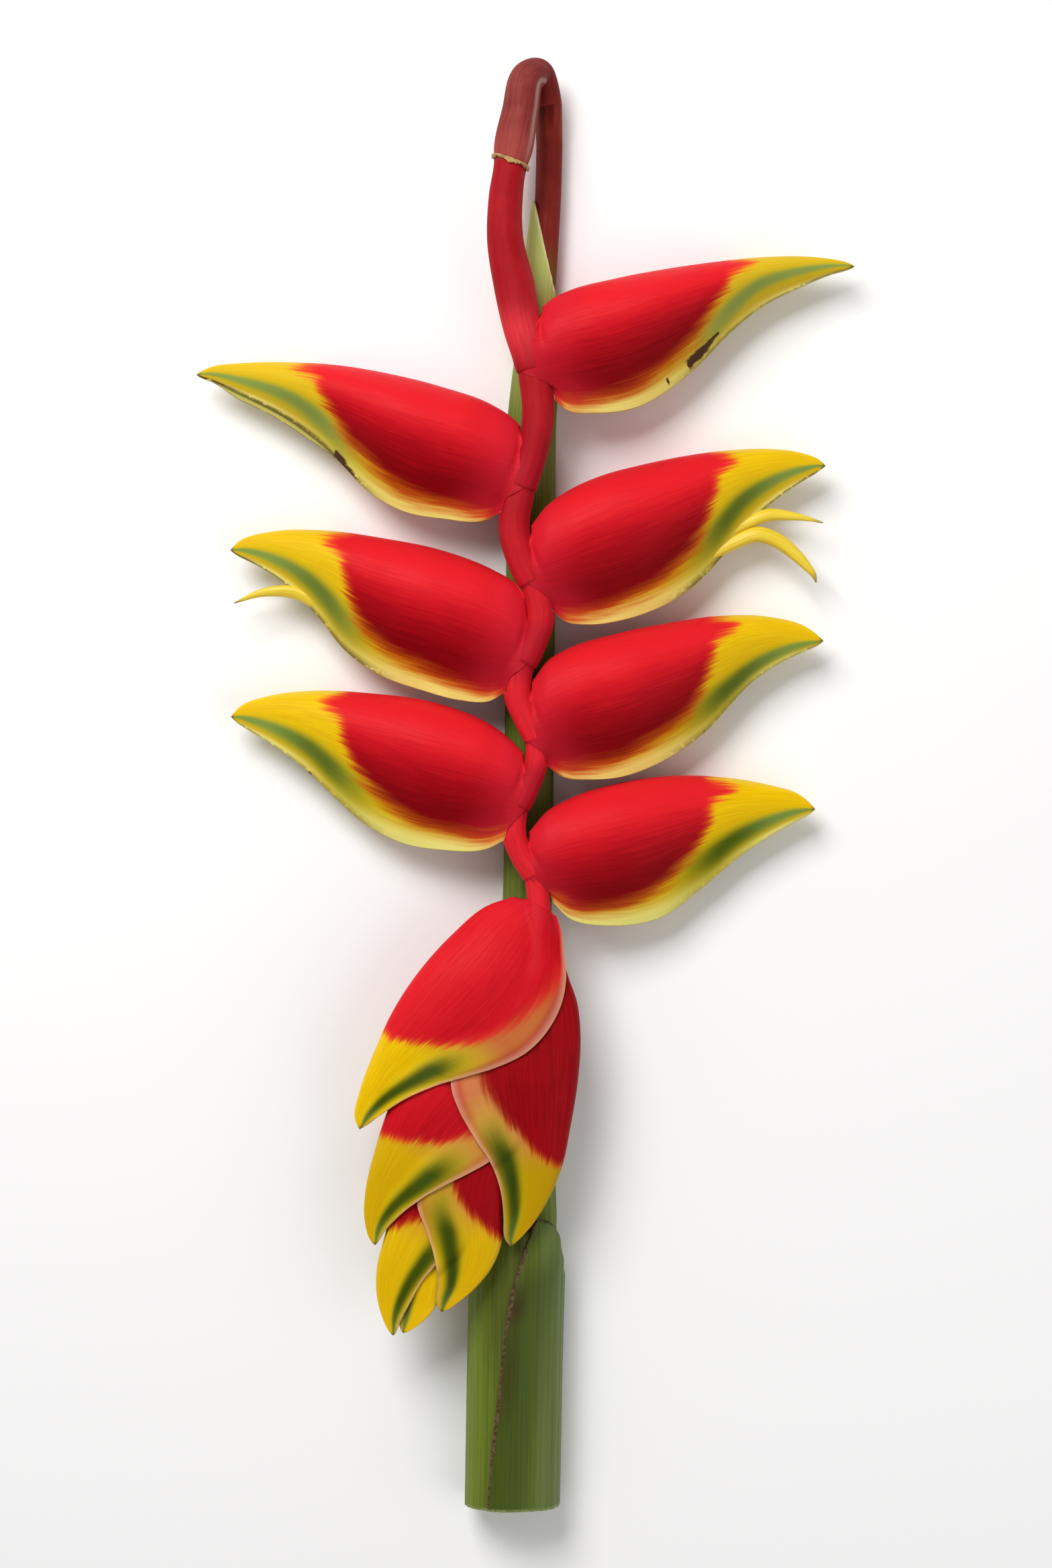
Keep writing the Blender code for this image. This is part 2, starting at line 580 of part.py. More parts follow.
def bract_plan(spec, fall):
    """The flat grid of a bract, keel to lip across and base to tip along, with the step values u and v."""
    keel = np.array(spec["keel"])
    lip = np.array(spec["lip"])
    tip = np.array(spec["tip"])
    across = keel[-1] - lip[-1]
    across = across / np.linalg.norm(across) * TIP_HALF
    keel_line = smooth_line(np.vstack([keel, tip + across]), LENGTH_STEPS + 1)
    lip_line = smooth_line(np.vstack([lip, tip - across]), LENGTH_STEPS + 1)
    u = np.linspace(0, 1, LENGTH_STEPS + 1)[:, None]
    v = np.linspace(0, 1, SIDE_STEPS + 1)[None, :] ** KEEL_CROWDING
    flat = keel_line[:, None] + v[..., None] * (lip_line - keel_line)[:, None]
    middle = (keel_line[0] + lip_line[0]) / 2
    bulge = (np.array(spec["lobe"]) - middle)[None, None]
    crest = (1 + fall) ** (1 + fall) / fall**fall
    flat = flat + bulge * (crest * v * (1 - v) ** fall * (1 - u) ** 3)[..., None]
    inward = (lip_line - keel_line)[:, None]
    width = np.linalg.norm(inward, axis=-1, keepdims=True)
    return flat, inward / width, width[..., 0], u, v


def bract_solid(name, spec, height, need, wall, fall, material, collection):
    """A bract: a sheet folded along its keel. The hollow's half width is the boat's or what it has to pass over."""
    flat, inward, width, u, v = bract_plan(spec, fall)
    hollow = (spec["belly"] * boat_length(u) - wall) * boat_section(v)
    hollow = np.maximum(hollow, THINNEST_HOLLOW)
    hollow = lifted(hollow, flat, u, need)
    full = hollow + wall
    hollow[:, 0] = 0.0
    full[:, 0] = 0.0
    inset = np.minimum(KEEL_INSET * wall, MOST_INSET * width) * (1 - v) ** 4
    flat_inner = flat + inward * inset[..., None]
    middle = height(u, flat)

    def folded(plan, half):
        front = np.concatenate([plan, (middle + half)[..., None]], axis=-1)
        behind = np.concatenate([plan, (middle - half)[..., None]], axis=-1)
        return np.concatenate([front[:, ::-1], behind[:, 1:]], axis=1)

    outer = folded(flat, full)
    inner = folded(flat_inner, hollow)
    outer[..., 2] = np.maximum(outer[..., 2], 0.0)
    inner[..., 2] = np.maximum(inner[..., 2], FLOOR_WALL_SHARE * wall)
    sheet_solid(name, outer, inner, material, collection)
    return np.concatenate([flat, full[..., None]], axis=-1)


def head_rod():
    """The bract-bearing axis, seen from above, as close rows of x, y, radius."""
    line = smooth_line(STALK_ROUTE, ROUTE_STEPS)
    start = int(np.argmin(np.linalg.norm(line[:, :3] - STALK_ROUTE[HEAD_KNOT][:3], axis=1)))
    return line[start:][:, [0, 1, 3]]


def floor_drop(belly):
    """How far an open bract's middle sinks so that its belly presses FLAT_DEPTH into the floor."""
    return (HEAD_HEIGHT + FLAT_DEPTH - belly) / math.sin(0.5 * math.pi * WIDEST_ALONG / LOWEST_ALONG)


def open_height(belly, u):
    """Height of an open bract's middle along its length: it sinks from the axis towards the floor."""
    return HEAD_HEIGHT - floor_drop(belly) * np.sin(0.5 * math.pi * np.minimum(u / LOWEST_ALONG, 1.0))


def flower_lines(name, spec):
    """The flowers in an open bract: a short stalk from the axis, and the flowers that spread from it."""
    axis = head_rod()
    keel = np.array(spec["keel"][0])
    lip = np.array(spec["lip"][0])
    middle = (keel + lip) / 2
    root = axis[np.argmin(np.linalg.norm(axis[:, :2] - middle, axis=1))]
    out = (middle - root[:2]) / np.linalg.norm(middle - root[:2])
    start = root[:2] + out * (root[2] + FLOWER_SEAT)
    tip = np.array(spec["tip"])
    length = np.linalg.norm(tip - middle)
    along = (tip - middle) / length
    down = np.array([along[1], -along[0]])
    down = down if np.dot(down, lip - keel) > 0 else -down

    def place(share, drop, rise, radius):
        return (*(middle + along * length * share + down * drop), rise, radius)

    stalk = [(*start, 0.0, FLOWER_ROOT)] + [place(*row) for row in FLOWER_STALK]
    lines = [(stalk, FLORET_STEPS)]
    for route in FLOWER_FAN:
        lines.append(([place(*row) for row in route], FLORET_STEPS))
    for route in SHOWING_FLOWERS.get(name, ()):
        rows = [place(*SHOWING_START)] + [(x, y, 0.0, radius) for x, y, radius in route]
        lines.append((rows, SHOWING_STEPS))
    finished = []
    for rows, steps in lines:
        rows = np.array(rows)
        share = np.linalg.norm(rows[:, :2] - middle, axis=1) / length
        rows[:, 2] += open_height(spec["belly"], share)
        finished.append(smooth_line(rows, steps))
    return finished


def add_flowers(name, lines, material, collection):
    """One node of flowers: the tubes, joined where they leave their stalk."""
    others = bpy.data.collections.new(name + "_tubes")
    objects = []
    for i, line in enumerate(lines):
        mesh = tube_mesh(f"{name}_{i}", line[:, :3], line[:, 3], FLORET_SIDES)
        objects.append(bpy.data.objects.new(f"{name}_{i}", mesh))
    base = objects[0]
    collection.objects.link(base)
    for obj in objects[1:]:
        others.objects.link(obj)
    union = base.modifiers.new("Join", "BOOLEAN")
    union.operation = "UNION"
    union.operand_type = "COLLECTION"
    union.collection = others
    union.solver = "MANIFOLD"
    graph = bpy.context.evaluated_depsgraph_get()
    joined = bpy.data.meshes.new_from_object(base.evaluated_get(graph))
    for obj in objects:
        bpy.data.objects.remove(obj, do_unlink=True)
    bpy.data.collections.remove(others)
    joined.name = name
    joined.materials.clear()
    joined.shade_smooth()
    return link(name, joined, material, collection)


def add_open_bract(name, spec, rods, material, collection):
    axis = head_rod()

    def height(u, flat):
        return np.broadcast_to(open_height(spec["belly"], u), flat.shape[:2])

    def need(flat, u):
        sunk = HEAD_HEIGHT - open_height(spec["belly"], u)
        over = rod_need(flat, axis, spec["seat"])
        over = np.where(over > 0, over + sunk, 0.0)
        for rod in rods:
            over = np.maximum(over, rod_need(flat, rod, FLORET_GAP))
        return over

    bract_solid(name, spec, height, need, BRACT_WALL, OPEN_LOBE_FALL, material, collection)


def add_hanging_bracts(material, collection):
    """From the bud outwards, each bract passes over the axis and over every younger one."""
    axis = head_rod()
    younger = []
    for name in reversed(list(HANGING_BRACTS)):
        spec = HANGING_BRACTS[name]

        def height(_, flat):
            return cluster_height(flat[..., 1])

        def need(flat, _):
            over = rod_need(flat, axis, spec["seat"])
            for shell in younger:
                over = np.maximum(over, shell_need(flat, shell, SHELL_GAP))
            return over

        shell = bract_solid(name, spec, height, need, HANGING_WALL, HANGING_LOBE_FALL, material, collection)
        younger.append(densify(shell, 4).reshape(-1, 3))


def main():
    clear_scene()
    collection = bpy.data.collections.new(PART)
    bpy.context.scene.collection.children.link(collection)
    materials = {name: make_material(name) for name in COLOURS}
    add_stalk(materials["stalk_skin"], collection)
    for name, spec in SHEATHS.items():
        add_sheath(name, spec, materials["sheath_skin"], collection)
    add_outer_sheath(materials["sheath_skin"], collection)
    add_scar_rim(materials["dry_skin"], collection)
    for name, spec in OPEN_BRACTS.items():
        lines = flower_lines(name, spec)
        rods = [smooth_line(line, 60)[:, [0, 1, 3]] for line in lines[1:]]
        add_open_bract(name, spec, rods, materials["bract_skin"], collection)
        add_flowers(name.replace("bract", "flowers"), lines, materials["flower_skin"], collection)
    add_hanging_bracts(materials["bract_skin"], collection)


main()
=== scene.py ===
import math

import bpy
import numpy as np
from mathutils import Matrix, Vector


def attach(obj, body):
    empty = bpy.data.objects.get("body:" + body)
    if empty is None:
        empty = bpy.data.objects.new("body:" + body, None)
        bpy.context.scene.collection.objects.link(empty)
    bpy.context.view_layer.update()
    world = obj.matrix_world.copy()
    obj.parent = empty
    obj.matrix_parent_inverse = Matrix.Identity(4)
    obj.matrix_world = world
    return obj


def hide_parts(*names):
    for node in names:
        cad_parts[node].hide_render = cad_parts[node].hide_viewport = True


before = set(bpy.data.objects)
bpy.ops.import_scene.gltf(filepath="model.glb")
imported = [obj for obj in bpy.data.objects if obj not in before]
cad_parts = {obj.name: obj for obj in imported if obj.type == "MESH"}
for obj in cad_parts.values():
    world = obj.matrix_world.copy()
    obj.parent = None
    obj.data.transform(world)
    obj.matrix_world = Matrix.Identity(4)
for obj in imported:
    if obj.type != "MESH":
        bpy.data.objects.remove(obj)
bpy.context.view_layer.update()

mm = 0.001  # the tables of the pieces are in mm
rimSteps = 3  # columns in the rounded lip of a wall
print("frame loaded:", len(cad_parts), "nodes")


# Small helpers

def tone(code):
    # a hex colour as the eye sees it, turned into linear light by the usual display curve
    parts = np.array([int(code[i:i + 2], 16) for i in (0, 2, 4)]) / 255
    linear = np.where(parts <= 0.04045, parts / 12.92, ((parts + 0.055) / 1.055) ** 2.4)
    return (*linear.tolist(), 1.0)


def ease(low, high, value):
    # smooth step 3t^2 - 2t^3: 0 at low, 1 at high, whichever of the two is larger
    t = np.clip((value - low) / (high - low), 0, 1)
    return t * t * (3 - 2 * t)


def bump(centre, width, value):
    # a bell: 1 at centre, falling to about a third at one width away
    return np.exp(-((value - centre) / width) ** 2)


def softMax(a, b, blend):
    # the larger of two heights, rounded where they are within blend of each other
    h = np.clip(0.5 + 0.5 * (b - a) / blend, 0, 1)
    return a + (b - a) * h + blend * h * (1 - h)


def quarterRound(value):
    # a quarter circle sqrt(1 - (1 - t)^2): upright at 0, level from 1 on
    return np.sqrt(np.maximum(1 - (1 - np.clip(value, 0, 1)) ** 2, 0))


def follow(table, value):
    # straight lines between the (place, value) pairs of a table
    places, values = np.transpose(table)
    return np.interp(value, places, values)


def nearest(points, target):
    # which row of points lies closest to the target
    return np.argmin(np.linalg.norm(points - target, axis=1))


def unit(vector):
    # the vector divided by its length
    return vector / np.linalg.norm(vector)


def smoothLine(points, count, axes=2, share=None, perSpan=16):
    # cubic spans through the knots, then points at even distances; extra columns such as a radius ride along
    knots = np.asarray(points, float)
    spans = np.linalg.norm(np.diff(knots[:, :axes], axis=0), axis=1)
    slopes = np.diff(knots, axis=0) / spans[:, None]
    tangents = np.empty_like(knots)
    tangents[0] = slopes[0]
    tangents[-1] = slopes[-1]
    before, after = spans[:-1, None], spans[1:, None]
    tangents[1:-1] = (slopes[:-1] * after + slopes[1:] * before) / (before + after)
    t = np.linspace(0, 1, perSpan, endpoint=False)[None, :, None]
    a, b = knots[:-1, None], knots[1:, None]
    ta, tb = tangents[:-1, None] * spans[:, None, None], tangents[1:, None] * spans[:, None, None]
    dense = ((2 * t**3 - 3 * t**2 + 1) * a + (t**3 - 2 * t**2 + t) * ta
             + (3 * t**2 - 2 * t**3) * b + (t**3 - t**2) * tb)
    dense = np.vstack([dense.reshape(-1, knots.shape[1]), knots[-1:]])
    steps = np.linalg.norm(np.diff(dense[:, :axes], axis=0), axis=1)
    along = np.concatenate([[0.0], np.cumsum(steps)])
    wanted = (np.linspace(0, 1, count) if share is None else share) * along[-1]
    return np.column_stack([np.interp(wanted, along, column) for column in dense.T])


def distanceToLine(flat, line):
    # shortest distance in the plane from every grid point to a line of points
    a, b = line[:-1], line[1:]
    run = b - a
    offset = flat[..., None, :] - a
    t = np.clip(np.sum(offset * run, axis=-1) / np.maximum(np.sum(run * run, axis=-1), 1e-9), 0, 1)
    return np.linalg.norm(offset - t[..., None] * run, axis=-1).min(axis=-1)


def runAlong(along, turn, reach):
    # where a pattern is read: how far along, then a circle of that reach round the piece
    return np.stack(np.broadcast_arrays(along, reach * np.cos(turn), reach * np.sin(turn)), axis=-1)


def fineName(node):
    return node.replace("_", "") + "Fine"


def makePiece(name, points, faces, fields, node, material):
    # puts arrays into a mesh, turns it outward, and ties the piece to its node, body and material slot
    a, b, c, d = np.moveaxis(points[np.array([face for face in faces if len(face) == 4])], 1, 0)
    if np.sum(a * (np.cross(b, c) + np.cross(c, d))) < 0:
        faces = [face[::-1] for face in faces]
    mesh = bpy.data.meshes.new(name)
    mesh.from_pydata((points * mm).tolist(), [], faces)
    for label, values in fields.items():
        kind, key = ("FLOAT_VECTOR", "vector") if values.ndim == 2 else ("FLOAT", "value")
        mesh.attributes.new(label, kind, "POINT").data.foreach_set(key, values.ravel().astype(np.float32))
    mesh.shade_smooth()
    mesh.materials.append(material)
    piece = bpy.data.objects.new(name, mesh)
    bpy.context.scene.collection.objects.link(piece)
    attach(piece, "root")
    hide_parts(node)


def ringFaces(rows, ring, start=0):
    # quads of a tube: rows of points, each row a closed ring
    i, j = np.meshgrid(np.arange(rows - 1) * ring, np.arange(ring), indexing="ij")
    k = (j + 1) % ring
    return (start + np.stack([i + j, i + k, i + ring + k, i + ring + j], axis=-1)).reshape(-1, 4).tolist()


def wallLoop(outer, inner):
    # one closed loop of columns round a sheet: outside, a half round lip, inside, the other half round lip
    def lip(edge, beside, across):
        middle = (edge + across) / 2
        out = edge - beside
        out = out / np.maximum(np.linalg.norm(out, axis=-1, keepdims=True), 1e-6)
        reach = np.linalg.norm(edge - across, axis=-1, keepdims=True) / 2
        turn = np.linspace(0, math.pi, rimSteps + 2)[1:-1]
        steps = [middle + (edge - middle) * math.cos(t) + out * reach * math.sin(t) for t in turn]
        return np.stack(steps, axis=1)

    last = lip(outer[:, -1], outer[:, -2], inner[:, -1])
    first = lip(inner[:, 0], inner[:, 1], outer[:, 0])
    return np.concatenate([outer, last, inner[:, ::-1], first], axis=1)


def loopField(outer, inner):
    # the same order for a value that rides on the sheet, as one row per point
    last = np.repeat(outer[:, -1:], rimSteps, axis=1)
    first = np.repeat(inner[:, :1], rimSteps, axis=1)
    loop = np.concatenate([outer, last, inner[:, ::-1], first], axis=1)
    return loop.reshape(-1, *outer.shape[2:])


def wallEnds(rows, columns):
    # closes both ends of such a loop between its outside and its inside
    ring = 2 * (columns + rimSteps)
    faces = []
    for start, way in ((0, 1), ((rows - 1) * ring, -1)):
        o = start + np.arange(columns)
        i = start + 2 * columns + rimSteps - 1 - np.arange(columns)
        strip = np.stack([o[1:], o[:-1], i[:-1], i[1:]], axis=-1).tolist()
        lastLip = list(range(start + columns - 1, start + columns + rimSteps + 1))
        firstLip = list(range(start + 2 * columns + rimSteps - 1, start + ring)) + [start]
        faces += [face[::way] for face in strip + [lastLip[::-1], firstLip[::-1]]]
    return faces


def makeWall(node, outer, inner, wall, fields, material):
    # a sheet with an outside and an inside, kept above the floor and closed all round
    outer[..., 2] = np.maximum(outer[..., 2], 0.0)
    inner[..., 2] = np.maximum(inner[..., 2], 0.8 * wall)
    loop = wallLoop(outer, inner)
    loop[..., 2] = np.maximum(loop[..., 2], 0.0)
    faces = ringFaces(*loop.shape[:2]) + wallEnds(loop.shape[0], outer.shape[1])
    makePiece(fineName(node), loop.reshape(-1, 3), faces, fields, node, material)


# Material nodes

class Board:
    # a material and short ways to add nodes to it; patterns holds the shares that layers can name
    def __init__(self, name):
        self.material = bpy.data.materials.new(name)
        self.material.use_nodes = True
        self.tree = self.material.node_tree
        self.patterns = {}

    def fill(self, node, inputs):
        # gives each input a value or another node's output
        for socket, source in inputs.items():
            if isinstance(source, bpy.types.NodeSocket):
                self.tree.links.new(source, node.inputs[socket])
            else:
                node.inputs[socket].default_value = source
        return node.outputs

    def field(self, label, kind="Fac"):
        # a value, or with kind Vector a place, stored on the piece's points
        node = self.tree.nodes.new("ShaderNodeAttribute")
        node.attribute_name = label
        return node.outputs[kind]

    def place(self):
        return self.tree.nodes.new("ShaderNodeTexCoord").outputs["Object"]

    def sum(self, kind, a, b, c=0.0):
        node = self.tree.nodes.new("ShaderNodeMath")
        node.operation = kind
        return self.fill(node, {0: a, 1: b, 2: c})[0]

    def stretch(self, vector, amounts):
        node = self.tree.nodes.new("ShaderNodeVectorMath")
        node.operation = "MULTIPLY"
        return self.fill(node, {0: vector, 1: amounts})[0]

    def span(self, value, low, high, start=0.0, end=1.0):
        # a smooth step from start to end between low and high
        node = self.tree.nodes.new("ShaderNodeMapRange")
        node.interpolation_type = "SMOOTHSTEP"
        ends = {"From Min": low, "From Max": high, "To Min": start, "To Max": end}
        return self.fill(node, {"Value": value, **ends})["Result"]

    def mix(self, share, a, b):
        node = self.tree.nodes.new("ShaderNodeMix")
        node.data_type = "RGBA"
        a, b = (tone(colour) if isinstance(colour, str) else colour for colour in (a, b))
        return self.fill(node, {"Factor": share, "A": a, "B": b})["Result"]

    def noise(self, vector, scale, detail=3.0, rough=0.5):
        inputs = {"Vector": vector, "Scale": scale, "Detail": detail, "Roughness": rough}
        return self.fill(self.tree.nodes.new("ShaderNodeTexNoise"), inputs)["Fac"]

    def ruffle(self, value, *rows):
        # value + (pattern - 0.5) * reach, for each pattern and its reach
        for pattern, reach in rows:
            value = self.sum("ADD", value, self.sum("MULTIPLY", self.sum("SUBTRACT", pattern, 0.5), reach))
        return value

    def layers(self, colour, rows):
        # paints tones over a colour in turn, each by a field or a named pattern times its strength
        for label, strength, code in rows:
            share = self.patterns[label] if label in self.patterns else self.field(label)
            colour = self.mix(self.sum("MULTIPLY", share, strength), colour, code)
        return colour

    def finish(self, colour, bumps, settings):
        # joins the colour and the bumps (height, strength, depth in mm) to the shader, and sets the rest
        normal = None
        for height, strength, deep in bumps:
            node = self.tree.nodes.new("ShaderNodeBump")
            below = {} if normal is None else {"Normal": normal}
            inputs = {"Height": height, "Strength": strength, "Distance": deep * mm, **below}
            normal = self.fill(node, inputs)["Normal"]
        shader = self.tree.nodes["Principled BSDF"]
        self.fill(shader, {"Base Color": colour, "Normal": normal, **settings})
        return self.material


# Stalk: cut end, straight run inside the sheaths, hook, hanging limb and zigzag axis

# route is x, y, z and radius of the stalk's middle line, from the cut end to the growing tip
stalkLook = {
    "route": (
        (-6.4, -306, 15, 6), (-5.4, -250, 15, 6), (-4.2, -200, 14.4, 6), (-2.6, -155, 12.2, 6),
        (-0.8, -100, 9.9, 6), (0.8, -40, 7.9, 6), (1.8, 60, 7.6, 5.9), (2.2, 150, 7.6, 5.8),
        (7.4, 212, 7.7, 5.6), (9.5, 246, 8, 5.5), (10.1, 270, 8.6, 5.5), (9.6, 285, 10.8, 5.7),
        (5.2, 297.1, 17.6, 6.3), (0.6, 294, 24.4, 7), (-2.6, 279, 29, 7.6), (-5.9, 261, 30.4, 7.8),
        (-6.5, 257.4, 30.5, 7.1), (-8.6, 243, 30.3, 7.1), (-8.8, 225, 29.9, 7.6), (-5.2, 206.6, 29.5, 8.5),
        (-1.8, 188.6, 29.5, 7.9), (2.8, 170.6, 29.5, 6.8), (4.9, 152.8, 29.5, 6.7), (2.2, 134.9, 29.5, 6.3),
        (-2.2, 121.9, 29.5, 6.4), (-5.1, 104.8, 29.5, 6.5), (-1.4, 90.2, 29.5, 6.2), (4.3, 78.8, 29.5, 5.9),
        (6.1, 68.2, 29.5, 5.7), (2.2, 55.1, 29.5, 5.6), (-2.6, 45.4, 29.5, 5.6), (-3.9, 36.4, 29.5, 5.7),
        (0.2, 25, 29.5, 5.4), (4.3, 16.1, 29.5, 5.1), (4.3, 7.1, 29.5, 4.9), (0.2, -4.3, 29.5, 4.9),
        (-4.3, -14, 29.5, 5), (-5.1, -23, 29.5, 5.1), (-1.4, -32.8, 29.5, 4.9), (3.5, -40.9, 29.5, 4.8),
        (5.3, -52, 30.8, 4.7), (6.3, -72.6, 35, 3.4), (1, -88.1, 36.5, 3.2), (-7.6, -102.8, 36.5, 3),
        (-10.4, -125.6, 36.5, 2.8), (-16.1, -143.5, 36.5, 2.6), (-21.5, -156, 36.5, 1.8),
    ),
    "straightKnots": 11,
    "headKnot": 19,
    "lineSteps": 4200,
    "straightSpan": (-306.0, 268.0),
    "straightRows": 60,
    "rows": 900,
    "sides": 40,
    "flutes": (0.02, 0.012),
    "crease": {"across": 0.66, "swell": 0.04, "swellFade": 0.4, "pinch": 0.1, "reach": 2.6},
    "scarEdge": (256.3, 258.8),
    "ridge": {"at": 0.83, "wide": 0.13, "strength": 0.75},
    "patternReach": 6.0,
    "red": ("A0101A", "B01720"),
    "redLayers": (("lower", 1, "DA1F2C"), ("flare", 0.75, "E43842"), ("shaded", 0.75, "A60F22"),
                  ("streaks", 0.4, "860A15")),
    "maroon": ("7C2A28", "93403A"),
    # the rising limb's darker maroon is painted shade on the ascending side of the hook
    "shadedRisingMaroon": ("741E18", "8A2C22"),
    "maroonLayers": (("nearScar", 0.6, "B04A42"), ("streaks", 0.5, "541A1C")),
    # the crease layer is painted shade: a thin dark line on the stalk under each bract's fold
    "layers": (("stemGreen", 1, "6E7E34"), ("ridge", 1, "C0A094"), ("crease", 0.45, "7A0712")),
    "shader": {"Roughness": 0.6, "Specular IOR Level": 0.1, "Sheen Weight": 0.03, "Sheen Roughness": 0.4,
               "Sheen Tint": tone("FF9A9A")},
}
straightKnots = np.array(stalkLook["route"][:stalkLook["straightKnots"] + 1])
stalkLine = smoothLine(stalkLook["route"], stalkLook["lineSteps"], axes=3)
headLine = stalkLine[nearest(stalkLine[:, :3], stalkLook["route"][stalkLook["headKnot"]][:3]):]


def stemCentre(y):
    # x and z of the straight stem's middle line at each y
    return [np.interp(y, straightKnots[:, 1], straightKnots[:, column]) for column in (0, 2)]


def carriedTube(line, sides, shape):
    # a profile carried along a path: centre + radius * shape(a) * (side * cos a + face * sin a); the side
    # direction is evened out from row to row so that the tube doesn't twist
    centre, radius = line[:, :3], line[:, 3]
    along = np.gradient(centre, axis=0)
    along /= np.linalg.norm(along, axis=1, keepdims=True)
    side = np.cross(along, (0.0, 0.0, 1.0))
    side[np.linalg.norm(side, axis=1) < 0.2] = (1.0, 0.0, 0.0)
    side = side - np.sum(side * along, axis=1, keepdims=True) * along
    for _ in range(12):
        side[1:-1] = (side[:-2] + side[1:-1] * 2 + side[2:]) / 4
        side = side - np.sum(side * along, axis=1, keepdims=True) * along
        side /= np.linalg.norm(side, axis=1, keepdims=True)
    face = np.cross(side, along)
    turn = np.linspace(0, 2 * math.pi, sides, endpoint=False)
    outward = np.cos(turn)[:, None] * side[:, None] + np.sin(turn)[:, None] * face[:, None]
    return centre[:, None] + (radius[:, None] * shape(turn))[..., None] * outward, turn


def tubeFaces(rows, sides, start=0):
    # the tube's quads, with an end face at each end
    first = list(range(start, start + sides))
    last = list(range(start + (rows - 1) * sides, start + rows * sides))
    return ringFaces(rows, sides, start) + [first[::-1], last]


def makeStalkMaterial():
    look = stalkLook
    board = Board("stalkSkin")
    place = board.place()
    fine = board.noise(board.stretch(board.field("run", "Vector"), (0.05, 1.0, 1.0)), 1.6, 4.0)
    grain = board.noise(place, 1500.0, 2.0)
    cloud = board.span(board.noise(place, 60.0), 0.35, 0.7)
    board.patterns["streaks"] = board.span(fine, 0.45, 0.75)
    red = board.layers(board.mix(cloud, *look["red"]), look["redLayers"])
    # painted shade: a darker maroon for the ascending limb
    shadedRising = board.mix(cloud, *look["shadedRisingMaroon"])
    maroon = board.mix(board.field("ascend"), board.mix(cloud, *look["maroon"]), shadedRising)
    maroon = board.layers(maroon, look["maroonLayers"])
    colour = board.layers(board.mix(board.field("hook"), red, maroon), look["layers"])
    return board.finish(colour, ((fine, 0.3, 0.22), (grain, 0.25, 0.08)), look["shader"])


def makeStalk():
    # the straight run in even rows, then the hook, the limb and the axis along the smoothed route
    look = stalkLook
    bend = nearest(stalkLine[:, :3], straightKnots[-1][:3])
    picked = np.linspace(bend, len(stalkLine) - 1, look["rows"]).astype(int)
    levels = np.linspace(*look["straightSpan"], look["straightRows"])
    straight = [np.interp(levels, straightKnots[:, 1], straightKnots[:, column]) for column in range(4)]
    line = np.vstack([np.column_stack(straight), stalkLine[picked]])
    along = np.linalg.norm(np.diff(line[:, :3], axis=0, prepend=line[:1, :3]), axis=1).cumsum()
    girth, crease = stalkCreases(line, along)
    line[:, 3] *= girth

    def fluted(a):
        # five broad and nine fine flutes
        broad, fine = look["flutes"]
        return 1 - broad * np.cos(5 * a) - fine * np.cos(9 * a + 1)

    ring, turn = carriedTube(line, look["sides"], fluted)
    height = line[:, 1]
    apex = np.argmax(height)
    limb = np.arange(len(line)) > apex
    pastApex = along - along[apex]
    lean = -np.gradient(line[:, 0]) / np.maximum(np.gradient(along), 1e-6)
    ridge = look["ridge"]
    offRidge = np.angle(np.exp(1j * (turn - ridge["at"] * math.pi)))
    onHook = ridge["strength"] * ease(250, 272, height) * ease(-14, 2, pastApex)

    def spread(values):
        return np.broadcast_to(values[:, None], ring.shape[:2]).ravel()

    fields = {
        "run": runAlong(along[:, None], turn, look["patternReach"]).reshape(-1, 3),
        "hook": spread(np.where(limb, ease(*look["scarEdge"], height), 1.0)),
        "lower": spread(limb * ease(150, 20, height)),
        "ridge": (bump(0.0, ridge["wide"], offRidge) * onHook[:, None]).ravel(),
        "ascend": spread(ease(6, -10, pastApex)),
        "nearScar": spread(limb * ease(284, 258, height)),
        "flare": spread(limb * bump(187, 10, height)),
        "shaded": spread(limb * ease(0.05, 0.4, lean) * ease(175, 150, height)),
        # where the painted shade of the creases falls
        "crease": spread(crease),
        "stemGreen": (~limb[:, None] * (1 - ease(180, 232, ring[..., 1]))).ravel(),
    }
    faces = tubeFaces(len(line), look["sides"])
    makePiece("stalkSkinFine", ring.reshape(-1, 3), faces, fields, "flower_stalk",
              makeStalkMaterial())
    print("stalk made:", look["rows"], "rows on the head")


# Bracts

